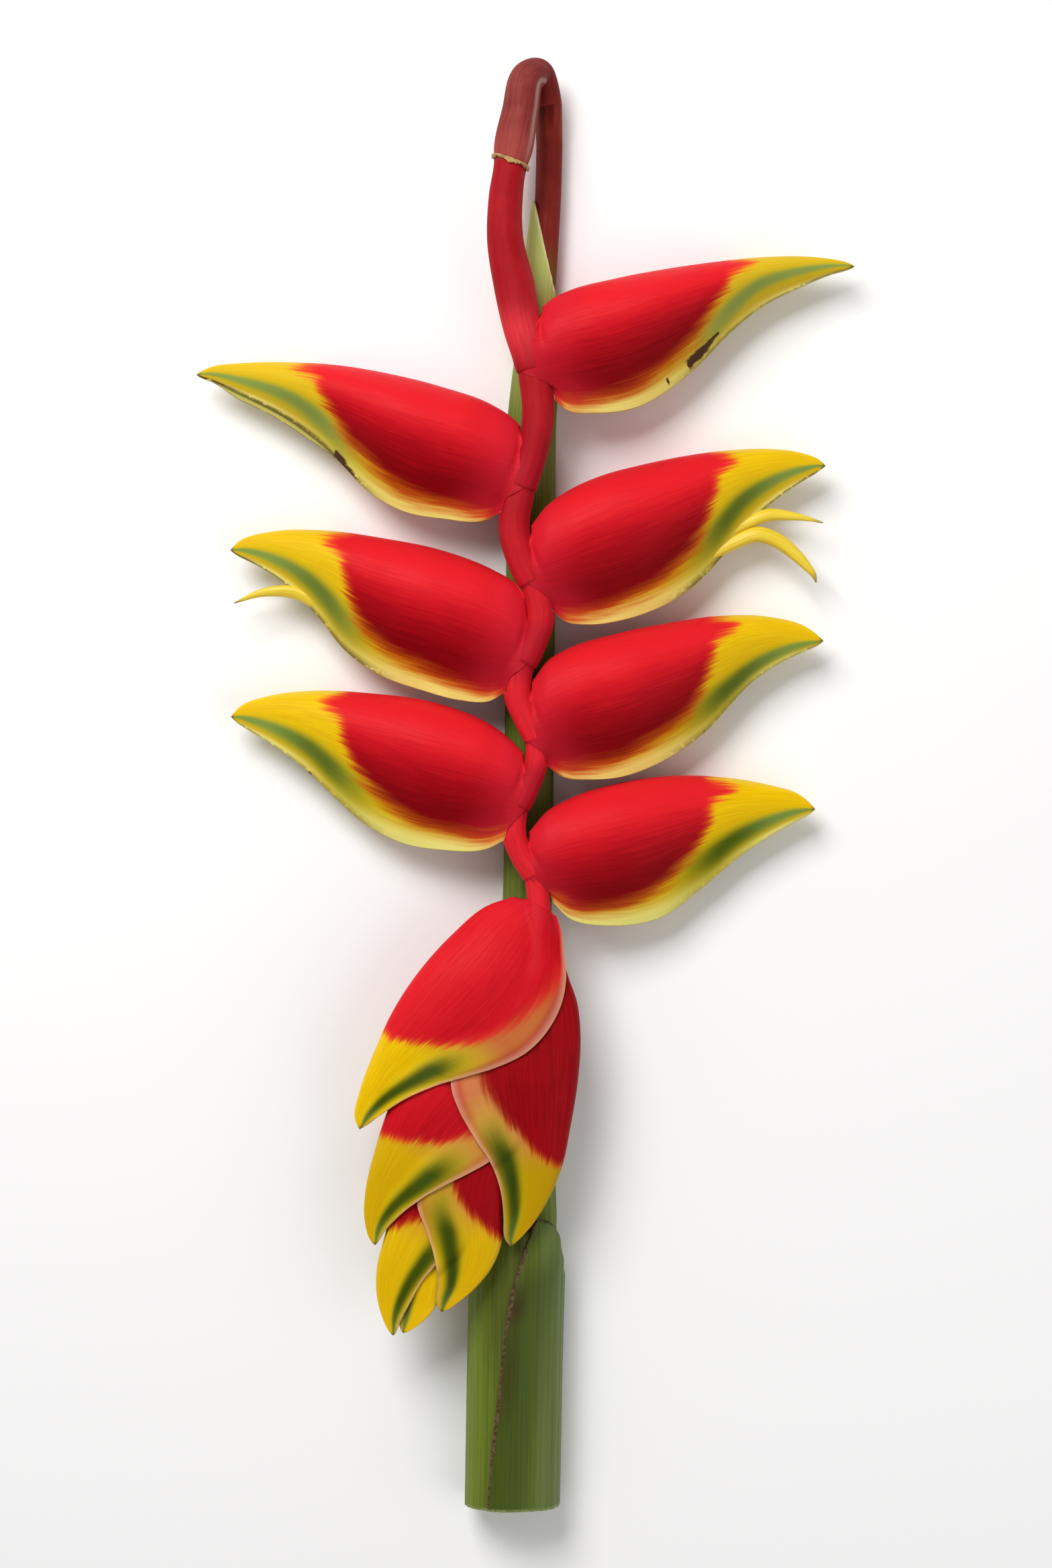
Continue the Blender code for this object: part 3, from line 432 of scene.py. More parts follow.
# keel and lip run along the two edges from base to tip, lobe is how far the base reaches round the axis, and
# turnAt and turnLine say where red turns to gold, as shares of the length
openBracts = {
    "bract_01": {
        "keel": ((5.2, 196), (9.4, 199.8), (17.2, 204.1), (37.9, 210.3), (58.7, 214.6), (79.5, 217.8),
            (100.2, 219.9), (121, 220), (133.5, 218.2)),
        "lip": ((12, 158.5), (17, 154.6), (30, 153.6), (46.2, 156.3), (60.8, 164.6), (73.2, 175),
            (85.7, 188), (100.2, 199.6), (116.8, 208), (130, 213.2)),
        "lobe": (-3.6, 176), "tip": (138.4, 215.9), "belly": 21, "turnAt": 0.65, "lowTurn": 0.06,
        "stripe": -0.17, "cream": 0.9, "age": 1, "rim": 0.7, "spots": ((59.4, 166.9, 0.7),
        (64.5, 166.4, 0.6), (66.6, 168.7, 0.6)), "patchReach": (3, 0.9),
        "patch": ((69.3, 174.6), (72.5, 178), (76.5, 182.2), (81, 187.2)),
    },
    "bract_02": {
        "keel": ((-0.8, 145.8), (-4.4, 149.8), (-14, 156.6), (-34.7, 164.6), (-55.5, 170.2), (-76.3, 174),
            (-97, 175.6), (-117.8, 175.4), (-132.3, 173.8)),
        "lip": ((-10, 112), (-17, 108.6), (-34.7, 109.4), (-51.4, 112.7), (-65.9, 121), (-76.3, 131.4),
            (-88.7, 143.9), (-105.4, 155.3), (-124, 164.2), (-133, 168)),
        "lobe": (1, 127), "tip": (-138.8, 170.4), "belly": 21, "turnAt": 0.675, "lowTurn": 0.06,
        "stripe": -0.07, "cream": 0.85, "age": 0.8, "rim": 1, "parted": 2.6, "spots": (),
        "patchReach": (1.2, 2),
        "patch": ((-66, 122.8), (-73, 128.8), (-80, 137)),
    },
    "bract_03": {
        "keel": ((0.7, 103.7), (3.3, 107.5), (7.9, 113.6), (18.3, 121.4), (31.8, 127.6), (49.5, 132.5),
            (68.2, 136.4), (85.8, 138.6), (101.4, 139.2), (113.8, 138), (122.2, 135.4)),
        "lip": ((10.5, 71), (16.3, 66.3), (26.6, 65), (39.1, 66.7), (51.6, 70.5), (64, 76.7), (75.4, 86.1),
            (83.7, 95.4), (91, 104.4), (99.3, 113), (108, 120.2), (118.5, 127)),
        "lobe": (-0.8, 87), "tip": (126.2, 132), "belly": 21, "turnAt": 0.675, "lowTurn": 0.06,
        "stripe": -0.05, "cream": 0.9, "age": 0.2, "rim": 0.9, "spots": ((73.5, 85.5, 0.9),),
    },
    "bract_04": {
        "keel": ((1.2, 74.8), (-4.6, 81.9), (-14, 87.8), (-34.7, 96.1), (-59.7, 101.5), (-86.7, 105),
            (-107.4, 104.4), (-119.9, 101)),
        "lip": ((-8.5, 36.6), (-15, 33), (-28, 33.4), (-43.1, 37.4), (-61.7, 44.2), (-76.3, 54.6),
            (-86.7, 67.6), (-99.1, 80.6), (-111.6, 89.4), (-119.6, 93.4)),
        "lobe": (2, 54), "tip": (-124.6, 96.6), "belly": 20.5, "turnAt": 0.655, "lowTurn": 0.06,
        "stripe": -0.03, "cream": 0.95, "age": 0.4, "rim": 0.9, "spots": (),
    },
    "bract_05": {
        "keel": ((0.9, 38.5), (3.3, 41.9), (8, 48.6), (17.2, 54.6), (37.9, 61.2), (60.8, 66), (81.5, 68.9),
            (102.3, 68.5), (116.8, 64.9)),
        "lip": ((9, 5.6), (15, 1.4), (27.5, 0.1), (40, 1.2), (52, 5.2), (64.9, 12.2), (77, 21.6),
            (86, 31.6), (96, 41.8), (108, 49.8), (119, 54.8)),
        "lobe": (-0.6, 21), "tip": (125.4, 58.4), "belly": 20.5, "turnAt": 0.67, "lowTurn": 0.06,
        "stripe": 0.09, "cream": 0.95, "age": 0.15, "rim": 0.6, "spots": ((75, 20.5, 0.8),),
    },
    "bract_06": {
        "keel": ((0.6, 8.8), (-3.3, 13.4), (-14, 22.4), (-34.7, 31.3), (-65.9, 36.3), (-90.8, 37.3),
            (-107.4, 35.4), (-119.9, 31.2)),
        "lip": ((-9, -25.4), (-16, -28.8), (-34.7, -29.5), (-51.4, -26.8), (-68, -18.5), (-82.5, -5.6),
            (-95, 6), (-109.5, 16.4), (-119, 22.2)),
        "lobe": (1.6, -7), "tip": (-124.4, 26.3), "belly": 20, "turnAt": 0.66, "lowTurn": 0,
        "stripe": -0.01, "cream": 1, "age": 0.2, "rim": 0.6, "spots": ((-91, 2.5, 0.9),),
    },
    "bract_07": {
        "keel": ((-0.2, -24.1), (2.9, -20.1), (8, -14.2), (18.6, -8), (37.9, -1.9), (60.8, 1.4), (81.5, 1),
            (102.3, -2.3), (114.8, -6.1)),
        "lip": ((11.5, -51.5), (17.5, -57.6), (35.9, -61.3), (56.6, -58), (73.2, -46.4), (89.8, -32.6),
            (104, -23), (115, -17)),
        "lobe": (-0.4, -37), "tip": (122, -12.6), "belly": 19.5, "turnAt": 0.675, "lowTurn": 0,
        "stripe": 0.03, "cream": 1, "age": 0, "rim": 0.3, "spots": (),
    },
}
# two of the numbers darken the bracts that lie under others: one paints shade on their gold, the other gives
# a deeper red, partly their own crimson and partly painted shade
hangingBracts = {
    "bract_08": {
        "keel": ((-3.2, -48.2), (-17.2, -53.4), (-30.7, -64.6), (-44.2, -79.5), (-55, -95.7),
            (-63.1, -113.2), (-69.1, -129.4), (-71.3, -140.2)),
        "lip": ((12.6, -56.8), (14.8, -63.4), (15.8, -72), (16.4, -83), (14.8, -92), (9.8, -102.4),
            (0.4, -112.6), (-13.1, -119.4), (-24, -122.6), (-37.4, -126.7), (-50.9, -132.8),
            (-61.7, -140.4)),
        "lobe": (8.6, -54.2), "tip": (-69.2, -145.6), "belly": 9.5, "dim": 0, "deep": 0.08, "band": 1,
        "stripe": 0.74, "early": 0.2,
        "turnLine": ((0.18, 1), (0.236, 0.93), (0.328, 0.84), (0.441, 0.77), (0.536, 0.7), (0.596, 0.55),
            (0.65, 0.3), (0.67, 0.12), (0.66, 0)),
    },
    "bract_09": {
        "keel": ((13.4, -67), (15.4, -74.5), (17.6, -82), (21.3, -92.9), (22.7, -106.4), (21.8, -124),
            (18.6, -144.3), (15.2, -160.5), (9.8, -173.9), (3.1, -184.8)),
        "lip": ((-11, -89.5), (-21, -104), (-29, -115), (-30.9, -125.3), (-27.3, -137.5), (-21.2, -148.3),
            (-14.5, -158.7), (-10.5, -169.9), (-9.1, -182.1), (-8.8, -190)),
        "lobe": (-2.5, -77), "tip": (-6, -194.4), "belly": 8.5, "dim": 0.8, "deep": 0.85, "band": 0.95,
        "stripe": 0.78, "early": 0.32,
        "turnLine": ((0.1, 1), (0.2, 0.9), (0.35, 0.78), (0.45, 0.72), (0.56, 0.62), (0.66, 0.42),
            (0.7, 0.2), (0.72, 0)),
    },
    "bract_10": {
        "keel": ((-16.2, -97.3), (-32, -106), (-46, -118), (-54, -129), (-58.4, -140), (-63.1, -155),
            (-66.8, -171.2), (-67.3, -182.1), (-65.6, -190)),
        "lip": ((-1, -119), (0, -132), (-5, -147), (-14, -157.2), (-24, -163.2), (-34.7, -168.5),
            (-45.5, -175), (-53.6, -181.8), (-59.4, -188.6)),
        "lobe": (-3, -107), "tip": (-62.8, -193.8), "belly": 7.5, "dim": 0.45, "deep": 0.34, "band": 0.9,
        "stripe": 0.78, "early": 0.25,
        "turnLine": ((0.14, 1), (0.2, 0.92), (0.32, 0.83), (0.42, 0.72), (0.5, 0.58), (0.56, 0.36),
            (0.585, 0.18), (0.6, 0)),
    },
    "bract_11": {
        "keel": ((-5, -126), (-1, -140), (-2.5, -155), (-7, -167), (-9.8, -180), (-10.2, -192.9),
            (-14.5, -203.6), (-21.2, -211.8), (-30, -219)),
        "lip": ((-22, -138), (-33, -153), (-42.5, -165), (-44.9, -176), (-41.5, -186.1), (-37.8, -198.3),
            (-36.4, -209), (-37, -217.6)),
        "lobe": (-16.5, -129), "tip": (-35, -221.6), "belly": 6.2, "dim": 0.3, "deep": 0.8, "band": 0.7,
        "stripe": 0.71, "early": 0.32,
        "turnLine": ((0.14, 1), (0.22, 0.9), (0.32, 0.76), (0.42, 0.62), (0.5, 0.46), (0.58, 0.28),
            (0.62, 0.12), (0.64, 0)),
    },
    "bract_12": {
        "keel": ((-21.5, -141), (-36, -149), (-48, -161), (-55, -175), (-58.8, -190.1), (-61.9, -202.3),
            (-61.9, -215.8), (-59.2, -225.3)),
        "lip": ((-15.4, -156.6), (-20, -172), (-26.5, -188), (-36.8, -200.6), (-42.8, -207.7),
            (-48.7, -218), (-53, -226.8)),
        "lobe": (-12.5, -149), "tip": (-55.4, -231.4), "belly": 5, "dim": 0.2, "deep": 0.72, "band": 0.5,
        "stripe": 0.8, "early": 0.3,
        "turnLine": ((0.16, 1), (0.24, 0.86), (0.34, 0.7), (0.44, 0.5), (0.52, 0.28), (0.56, 0.12),
            (0.58, 0)),
    },
    "bract_bud": {
        "keel": ((-20.5, -161), (-24, -177), (-29.5, -195), (-34.5, -211), (-39, -221.5), (-45.5, -227.6)),
        "lip": ((-30, -164), (-42, -177), (-49, -192), (-52.6, -207), (-53.4, -219), (-52.6, -226)),
        "lobe": (-24.5, -160.5), "tip": (-51, -230.4), "belly": 3.6, "dim": 0.1, "deep": 0.72, "band": 0,
        "stripe": 0.8, "early": 0.3,
        "turnLine": ((0.02, 1), (0.06, 0.8), (0.1, 0.5), (0.14, 0.2), (0.16, 0)),
    },
}
bractForm = {
    "rows": 116,
    "baseCrowding": 0.02,
    "sideColumns": 34,
    "keelCrowding": 1.9,
    "headHeight": 29.5,
    "clusterHeight": 36.5,
    "riseFrom": -42.0,
    "riseTo": -84.0,
    "flatDepth": 1.7,
    "widestAlong": 0.36,
    "lowestAlong": 0.62,
    "openWall": 1.2,
    "hangingWall": 0.95,
    "keelRound": 0.05,
    "lipThins": (0.82, 0.45),
    "tipHalf": 0.9,
    "tipFrom": 0.965,
    "cornerRound": 2.2,
    "waver": 0.22,
    "patternReach": 46.0,
    "shellClearance": 0.6,
    "rollingBall": 6.0,
    "farBelow": -20.0,
    "seat": {"baseSunk": -0.7, "clear": 1.15, "clearBy": 0.07, "rodFrom": -8.0, "blend": 3.5,
             "closedBlend": 3.0, "foot": -0.4, "foldLift": 0.9, "leastFoot": 0.15, "steepBy": 0.1,
             "flushBy": 0.085, "besideRod": (0.2, 3.8), "shellBlend": 1.2},
    "turnRoute": ((0.0, -0.03), (0.04, 0.0), (0.13, 0.045), (0.21, 0.025), (0.3, -0.035), (0.45, -0.047),
                  (0.6, -0.085), (0.7, -0.125), (0.8, -0.215), (0.87, -0.355), (0.92, -0.49), (0.96, -0.60),
                  (1.0, -0.67)),
    # how far the red darkens across the sheet: partly the bract's own crimson, partly painted shade toward
    # the lip
    "depth": ((0.0, 0.05), (0.1, 0.0), (0.28, 0.12), (0.42, 0.45), (0.58, 0.76), (0.74, 1.05), (0.84, 1.0),
              (0.93, 0.7), (1.0, 0.55)),
    "stripeRoute": ((0.4, 0.83), (0.52, 0.80), (0.58, 0.79), (0.64, 0.76), (0.70, 0.72), (0.78, 0.69),
                    (0.86, 0.66), (0.94, 0.62), (1.0, 0.55)),
    "stripeShare": ((0.34, 0.0), (0.45, 0.3), (0.52, 0.68), (0.58, 0.9), (0.64, 1.0), (0.92, 1.0),
                    (1.0, 0.9)),
    "hangingStripe": ((0.0, 0.0), (0.16, 0.3), (0.42, 1.0), (0.9, 1.0), (1.0, 0.8)),
    "red": ("E01D26", "CA101E"),
    # the darker reds are partly the bract's own crimson and partly painted shade
    "redLayers": (("deeper", 1, "A20411"), ("deepest", 1, "820008"), ("base", 0.6, "C81E30")),
    "gold": ("E4B200", "F2C604"),
    # the third layer darkens the gold of bracts lying under others: painted shade
    "goldLayers": (("keelEdge", 0.55, "F8DA48"), ("age", 0.5, "C8AE30"), ("dim", 1, "B08700"),
                   # the last layer is the cream lip, partly its own colour and partly painted light shining
                   # through the thin lip
                   ("cream", 1, "F8EE86")),
    "salmon": ("BE6834", "D67E50"),
    "blush": ("A83C2E", "C8403A"),
    "green": ("88840A", "4E6204"),
    "greenLayers": (("night", 1, "3A4A02"), ("tipGreen", 1, "7C9440"), ("age", 0.8, "98A850")),
    "halo": "BCB410",
    "orange": "F07A10",
    "layers": (("lipLight", 1, "E8A88E"), ("rim", 1, "5A431C"), ("speck", 1, "4E321C"),
               ("tipDark", 0.85, "4A3A1C")),
    "inside": ("B8302A", "B8AE58"),
    "shader": {"Specular IOR Level": 0.07, "Subsurface Weight": 0.04, "Subsurface Radius": (1.0, 0.3, 0.2),
               "Subsurface Scale": 0.002},
}


def stalkCreases(line, along):
    # a soft step in the girth where each open bract's base folds back: a low swell above it, a pinch below
    # it, and a thin line there that is darkened as painted shade
    spec = stalkLook["crease"]
    girth = np.ones(len(line))
    crease = np.zeros(len(line))
    head = np.arange(len(line)) > np.argmax(line[:, 1])
    for bract in openBracts.values():
        keel, lip = np.array(bract["keel"][0]), np.array(bract["lip"][0])
        fold = keel + spec["across"] * (lip - keel) + np.array(bract["lobe"]) - (keel + lip) / 2
        past = along - along[head][nearest(line[head, :2], fold)]
        swell = bump(-3.0, 3.6, np.minimum(past, 0)) * np.exp(-past.clip(0) / spec["swellFade"])
        girth += spec["swell"] * swell
        girth -= spec["pinch"] * ease(-0.2, 0.8, past) * np.exp(-past.clip(0) / spec["reach"])
        crease = np.maximum(crease, bump(0.5, 1.1, past))
    return girth, crease


def boatSection(v):
    # share of the widest half width across the sheet: v^0.6 * (1 - v)^1.2, with its top at a third
    return (v * 3) ** 0.6 * ((1 - v) * 1.5) ** 1.2


def boatLength(u):
    # share of the belly along the bract, a smooth line through a few knots
    knots = ((0.0, 0.34), (0.1, 0.56), (0.22, 0.85), (bractForm["widestAlong"], 1.0), (0.6, 0.76),
             (0.8, 0.36), (0.93, 0.14), (1.0, 0.07))
    return follow(smoothLine(knots, 160), u)


def clasp(v, fall):
    # how far the base edge reaches round the axis: v (1 - v)^fall on a hanging bract; on an open one it grows
    # over the first 0.6 of the way across and then folds back over the axis
    if fall > 1:
        return (1 + fall) ** (1 + fall) / fall**fall * v * (1 - v) ** fall
    return ease(0.0, 0.6, v) * (1 - ease(0.64, 0.88, v))


def bractPlan(spec, fall):
    # flat grid = keel + v * (lip - keel) + a bulge clasp(v) (1 - u)^3 round the axis, its far end rounded off
    form = bractForm
    keel, lip, tip = (np.array(spec[part]) for part in ("keel", "lip", "tip"))
    across = unit(keel[-1] - lip[-1]) * form["tipHalf"]
    u = np.linspace(0, 1, form["rows"])
    u = u + form["baseCrowding"] * np.sin(2 * math.pi * u) * (u - 1)
    keelLine = smoothLine(np.vstack([keel, tip + across]), 0, share=u)
    lipLine = smoothLine(np.vstack([lip, tip - across]), 0, share=u)
    u = u[:, None]
    v = np.linspace(0, 1, form["sideColumns"])[None, :] ** form["keelCrowding"]
    inward = (lipLine - keelLine)[:, None]
    flat = keelLine[:, None] + v[..., None] * inward
    bulge = np.array(spec["lobe"]) - (keelLine[0] + lipLine[0]) / 2
    flat = flat + bulge * (clasp(v, fall) * (1 - u) ** 3)[..., None]
    corner = form["cornerRound"] * (1 - ease(0.0, 0.14, v)) * (1 - u) ** 14
    flat = flat + unit(keel[1] - keel[0]) * corner[..., None]
    width = np.linalg.norm(inward, axis=-1)
    near = np.clip((u - form["tipFrom"]) / (1 - form["tipFrom"]), 0, 1)
    taper = np.sqrt(np.maximum(1 - near**2, 0.004))
    centre = (flat[:, :1] + flat[:, -1:]) / 2
    flat = centre + (flat - centre) * taper[..., None]
    return flat, inward / width[..., None], width, u, v * np.ones_like(u), taper


def rodHeight(flat, rod):
    # height of a round rod's surface over each flat point, carried on below its sides as a steep slope
    offset = flat[..., None, :] - rod[:, :2]
    distance = np.sqrt(np.sum(offset**2, axis=-1))
    radius = rod[:, 2]
    edge, edgeHeight, slope = 0.96, 0.28, 3.4
    over = np.where(distance < edge * radius, np.sqrt(np.maximum(radius**2 - distance**2, 0)),
                    edgeHeight * radius - slope * (distance - edge * radius))
    return over.max(axis=-1)


def shellHeight(flat, samples, ball):
    # height of a younger bract's skin over each flat point, as a ball of that radius rolls over it
    offset = flat[..., None, :] - samples[:, :2]
    distance = np.sum(offset**2, axis=-1)
    over = samples[:, 2] + np.sqrt(np.maximum(ball**2 - distance, 0)) - ball
    return np.where(distance < ball**2, over, bractForm["farBelow"]).max(axis=-1)


def turnField(flat, u, v, line):
    # signed distance in millimetres to the line where red gives way to yellow, positive on the yellow side
    knots = np.array(line)
    across = np.linspace(0, 1, 90)
    row = np.interp(follow(knots, across), u[:, 0], np.arange(len(u)))
    column = np.interp(across, v[0], np.arange(v.shape[1]))
    low, side = row.astype(int).clip(0, len(u) - 2), column.astype(int).clip(0, v.shape[1] - 2)
    a, b = (row - low)[:, None], (column - side)[:, None]
    points = ((1 - a) * ((1 - b) * flat[low, side] + b * flat[low, side + 1])
              + a * ((1 - b) * flat[low + 1, side] + b * flat[low + 1, side + 1]))
    away = distanceToLine(flat, points)
    return np.where(u > follow(knots, v), away, -away)


def stripe(v, middle, wide=1.0):
    # share of green across the sheet: a bell, steeper toward the keel
    spread = np.where(v < middle, 0.125, 0.17) * wide
    return np.exp(-((v - middle) / spread) ** 2)


def buildBract(name, spec, height, lift, wall, fall, fieldsOf, material):
    # outside half width = (belly * length share - wall) * section + wall, raised over what lies inside; the
    # sheet folds at the keel, and its two halves stand that far above and below the middle height
    form = bractForm
    flat, inward, width, u, v, taper = bractPlan(spec, fall)
    keelRound = quarterRound(v / form["keelRound"])
    lipFrom, lipThinner = form["lipThins"]
    skin = wall * keelRound * (1 - lipThinner * ease(lipFrom, 1.0, v))
    hollow = np.maximum((spec["belly"] * boatLength(u) - wall) * boatSection(v), 0.25 * keelRound)
    outside = lift(flat, u, v, hollow + skin) * taper
    outside[:, 0] = 0.0
    inside = np.maximum(outside - skin, 0.2 * taper * keelRound)
    inside[:, 0] = 0.0
    inset = np.minimum(1.2 * wall, 0.25 * width) * (1 - v) ** 4 * taper
    parted = spec.get("parted", 0.0) * ease(0.7, 1.0, v) * ease(0.52, 0.66, u) * (1 - ease(0.86, 0.97, u))
    waver = form["waver"] * np.sin(u * 31 + len(name)) * ease(0.9, 1.0, v) * ease(0.05, 0.2, u)
    middle = height(u, flat)

    def fold(front, half):
        back = front + inward * parted[..., None]
        top = np.concatenate([front, (middle + half)[..., None]], axis=-1)
        under = np.concatenate([back, (middle - half)[..., None]], axis=-1)
        return np.concatenate([top[:, ::-1], under[:, 1:]], axis=1)

    def doubled(values, sign=1.0):
        values = np.broadcast_to(values, v.shape)
        return np.concatenate([values[:, ::-1], sign * values[:, 1:]], axis=1)

    fields = {"inside": loopField(doubled(0.0), doubled(1.0))}
    for label, values in fieldsOf(spec, flat, width, u, v).items():
        both = doubled(values)
        fields[label] = loopField(both, both)
    lengthMm = np.linalg.norm(np.diff(flat[:, -1], axis=0), axis=1).sum()
    apart = 7.0 * len(name) + ord(name[-1])  # another part of the pattern for each bract
    flow = [doubled(u) * lengthMm, doubled(v * form["patternReach"], -1.0), doubled(apart)]
    flow = np.stack(flow, axis=-1)
    fields["flow"] = loopField(flow, flow)
    outer = fold(flat, outside + waver)
    inner = fold(flat + inward * inset[..., None], inside + waver)
    makeWall(name, outer, inner, wall, fields, material)
    return np.concatenate([flat, outside[..., None]], axis=-1)


def openHeight(belly, u):
    # height of an open bract's middle: a quarter sine down from the axis until its belly meets the floor
    form = bractForm
    widest = math.sin(0.5 * math.pi * form["widestAlong"] / form["lowestAlong"])
    drop = (form["headHeight"] + form["flatDepth"] - belly) / widest
    return form["headHeight"] - drop * np.sin(0.5 * math.pi * np.minimum(u / form["lowestAlong"], 1.0))


def clusterHeight(y):
    # height of the hanging cluster's middle: it rises from the open head to lie over the stem
    form = bractForm
    t = ease(form["riseFrom"], form["riseTo"], y)
    return form["headHeight"] + (form["clusterHeight"] - form["headHeight"]) * t


def openFields(spec, flat, width, u, v):
    # where each colour of an open bract lies, as steps and bells along it (u) and across it (v)
    form = bractForm
    route = [(across, spec["turnAt"] + along + spec["lowTurn"] * ease(0.65, 0.85, across))
             for across, along in form["turnRoute"]]
    middle = follow(form["stripeRoute"], u) + spec["stripe"] * ease(0.5, 0.75, u)
    lipMm = (1 - v) * width
    spots = np.zeros_like(v)
    for x, y, radius in spec["spots"]:
        away = np.linalg.norm(flat - np.array((x, y)), axis=-1)
        spots = np.maximum(spots, 1 - ease(0.5, 1.3, away / radius))
    if "patch" in spec:
        patch = np.array(spec["patch"])
        share = (flat[..., 0] - patch[0, 0]) / (patch[-1, 0] - patch[0, 0])
        reach = np.interp(share, (0, 1), spec["patchReach"])
        spots = np.maximum(spots, 1 - ease(0.3, 1.2, distanceToLine(flat, patch) / reach))
    return {
        "turn": turnField(flat, u, v, route),
        "soften": 1.7 + 1.6 * ease(0.55, 0.8, v),
        "green": stripe(v, middle) * follow(form["stripeShare"], u),
        "stripeTone": ease(0.5, 0.64, u),
        "tipGreen": ease(0.68, 0.88, u),
        # a pale cream lip margin, partly its own colour and partly painted light shining through the thin lip
        "cream": ease(0.84, 0.985, v) * spec["cream"] * (1 - 0.5 * bump(0.62, 0.12, u)),
        "keelEdge": bump(0.0, 0.06, v),
        "lipMm": lipMm,
        # red darkening across the sheet, partly crimson pigment and partly painted shade toward the lip
        "depth": follow(form["depth"], v),
        "spots": spots,
        "age": spec["age"],
        "rimBrown": spec["rim"] * ease(0.3, 0.5, u) * (1 - ease(0.4, 0.9, lipMm)),
        "tipDark": ease(0.98, 1.0, u),
        "base": 1 - ease(0.02, 0.22, u),
        "night": 0.0,
        "dim": 0.0,
        "lipLight": 0.0,
        "tan": 0.0,
    }


def hangingFields(spec, flat, width, u, v):
    # the same for a hanging bract, whose lip band is a thin salmon skin towards the base
    form = bractForm
    keelTurn = spec["turnLine"][-1][0]
    rise = np.clip((u - keelTurn + spec["early"]) / (1 + spec["early"] - keelTurn), 0, 1)
    middle = spec["stripe"] - 0.14 * ease(0.5, 1.0, rise)
    lipMm = (1 - v) * width
    near = 0.1 * (1 - ease(1.5, 6.0, lipMm))
    return {
        "turn": turnField(flat, u, v, [(across, along) for along, across in spec["turnLine"][::-1]]),
        "soften": 1.5 + 1.8 * ease(0.6, 0.85, v),
        "green": stripe(v, middle, 1.3) * follow(form["hangingStripe"], rise),
        "stripeTone": ease(0.1, 0.4, rise),
        "tipGreen": 0.6 * ease(0.75, 1.0, rise),
        "night": ease(0.14, 0.42, rise),
        "keelEdge": 0.5 * bump(0.0, 0.06, v),
        "lipMm": lipMm,
        # a deeper red for bracts under others, partly their own crimson and partly painted shade
        "depth": spec["deep"] + 0.45 * (1 - spec["deep"]) * v,
        "rimBrown": 0.35 * ease(0.7, 0.9, u) * (1 - ease(0.3, 0.7, lipMm)),
        "tan": spec["band"] * (1 - ease(0, 1, (u - keelTurn - near + 0.18) / 0.2)),
        # how much painted shade a bract lying under others gets
        "dim": spec["dim"],
        "lipLight": 0.6 * (1 - ease(0.1, 0.7, lipMm)) * ease(0.0, 0.1, u),
        "tipDark": ease(0.985, 1.0, u),
        "base": 1 - ease(0.0, 0.1, u),
        "cream": 0.0,
        "spots": 0.0,
        "age": 0.0,
    }


def makeBractMaterial():
    # red that deepens across the sheet, partly its own crimson and partly painted shade where it turns under
    # to the lip, a ragged turn to gold, a leaf green stripe in it, dry spots and edges
    look = bractForm
    board = Board("bractSkin")
    flow = board.field("flow", "Vector")
    place = board.place()
    wide = board.noise(board.stretch(flow, (0.035, 0.42, 1.0)), 1.0)
    lines = board.noise(board.stretch(flow, (0.05, 1.1, 1.0)), 1.0, 3.0, 0.6)
    hair = board.noise(board.stretch(flow, (0.04, 4.0, 1.0)), 1.0, 2.0, 0.6)
    cloud = board.noise(place, 45.0)
    grain = board.noise(place, 1600.0, 2.0)
    dry = board.noise(place, 420.0, 2.0)
    turn = board.ruffle(board.field("turn"), (wide, 6.5), (lines, 4.5), (hair, 4.5))
    turn = board.sum("DIVIDE", turn, board.field("soften"))
    depth = board.ruffle(board.field("depth"), (cloud, 0.25), (lines, 0.55), (hair, 0.3))
    green = board.field("green")
    board.patterns = {
        "deeper": board.span(depth, 0.32, 0.75),
        "deepest": board.span(depth, 0.7, 1.05),
        "rim": board.sum("MULTIPLY", board.field("rimBrown"), board.span(dry, 0.25, 0.5)),
        "speck": board.span(board.ruffle(board.field("spots"), (dry, 0.8)), 0.4, 0.8),
    }
    red = board.layers(board.mix(board.span(depth, 0.0, 0.4), *look["red"]), look["redLayers"])
    gold = board.layers(board.mix(board.span(lines, 0.3, 0.7), *look["gold"]), look["goldLayers"])
    # on the bracts painted as shaded, the salmon and blush are taken lighter
    salmon, blush = (board.mix(board.field("dim"), *look[skin]) for skin in ("salmon", "blush"))
    salmon = board.mix(board.span(board.field("lipMm"), 6.5, 1.0), salmon, blush)
    gold = board.mix(board.field("tan"), gold, salmon)
    leafy = board.layers(board.mix(board.field("stripeTone"), *look["green"]), look["greenLayers"])
    gold = board.mix(board.span(board.sum("POWER", green, 0.35), 0.25, 0.95, 0.0, 0.5), gold, look["halo"])
    gold = board.mix(board.span(board.ruffle(green, (lines, 0.22)), 0.08, 1.02), gold, leafy)
    glow = board.sum("MULTIPLY_ADD", board.field("tan"), -0.42, 0.55)
    colour = board.mix(board.span(turn, -2.3, 0.3), red, board.mix(glow, red, look["orange"]))
    colour = board.layers(board.mix(board.span(turn, -1.0, 1.0), colour, gold), look["layers"])
    within = board.mix(board.span(board.field("lipMm"), 10.0, 1.0), *look["inside"])
    colour = board.mix(board.field("inside"), colour, within)
    bumps = ((lines, 0.30, 0.35), (hair, 0.22, 0.15), (grain, 0.18, 0.05))
    rough = board.span(lines, 0.3, 0.7, 0.44, 0.54)
    return board.finish(colour, bumps, {"Roughness": rough, **look["shader"]})


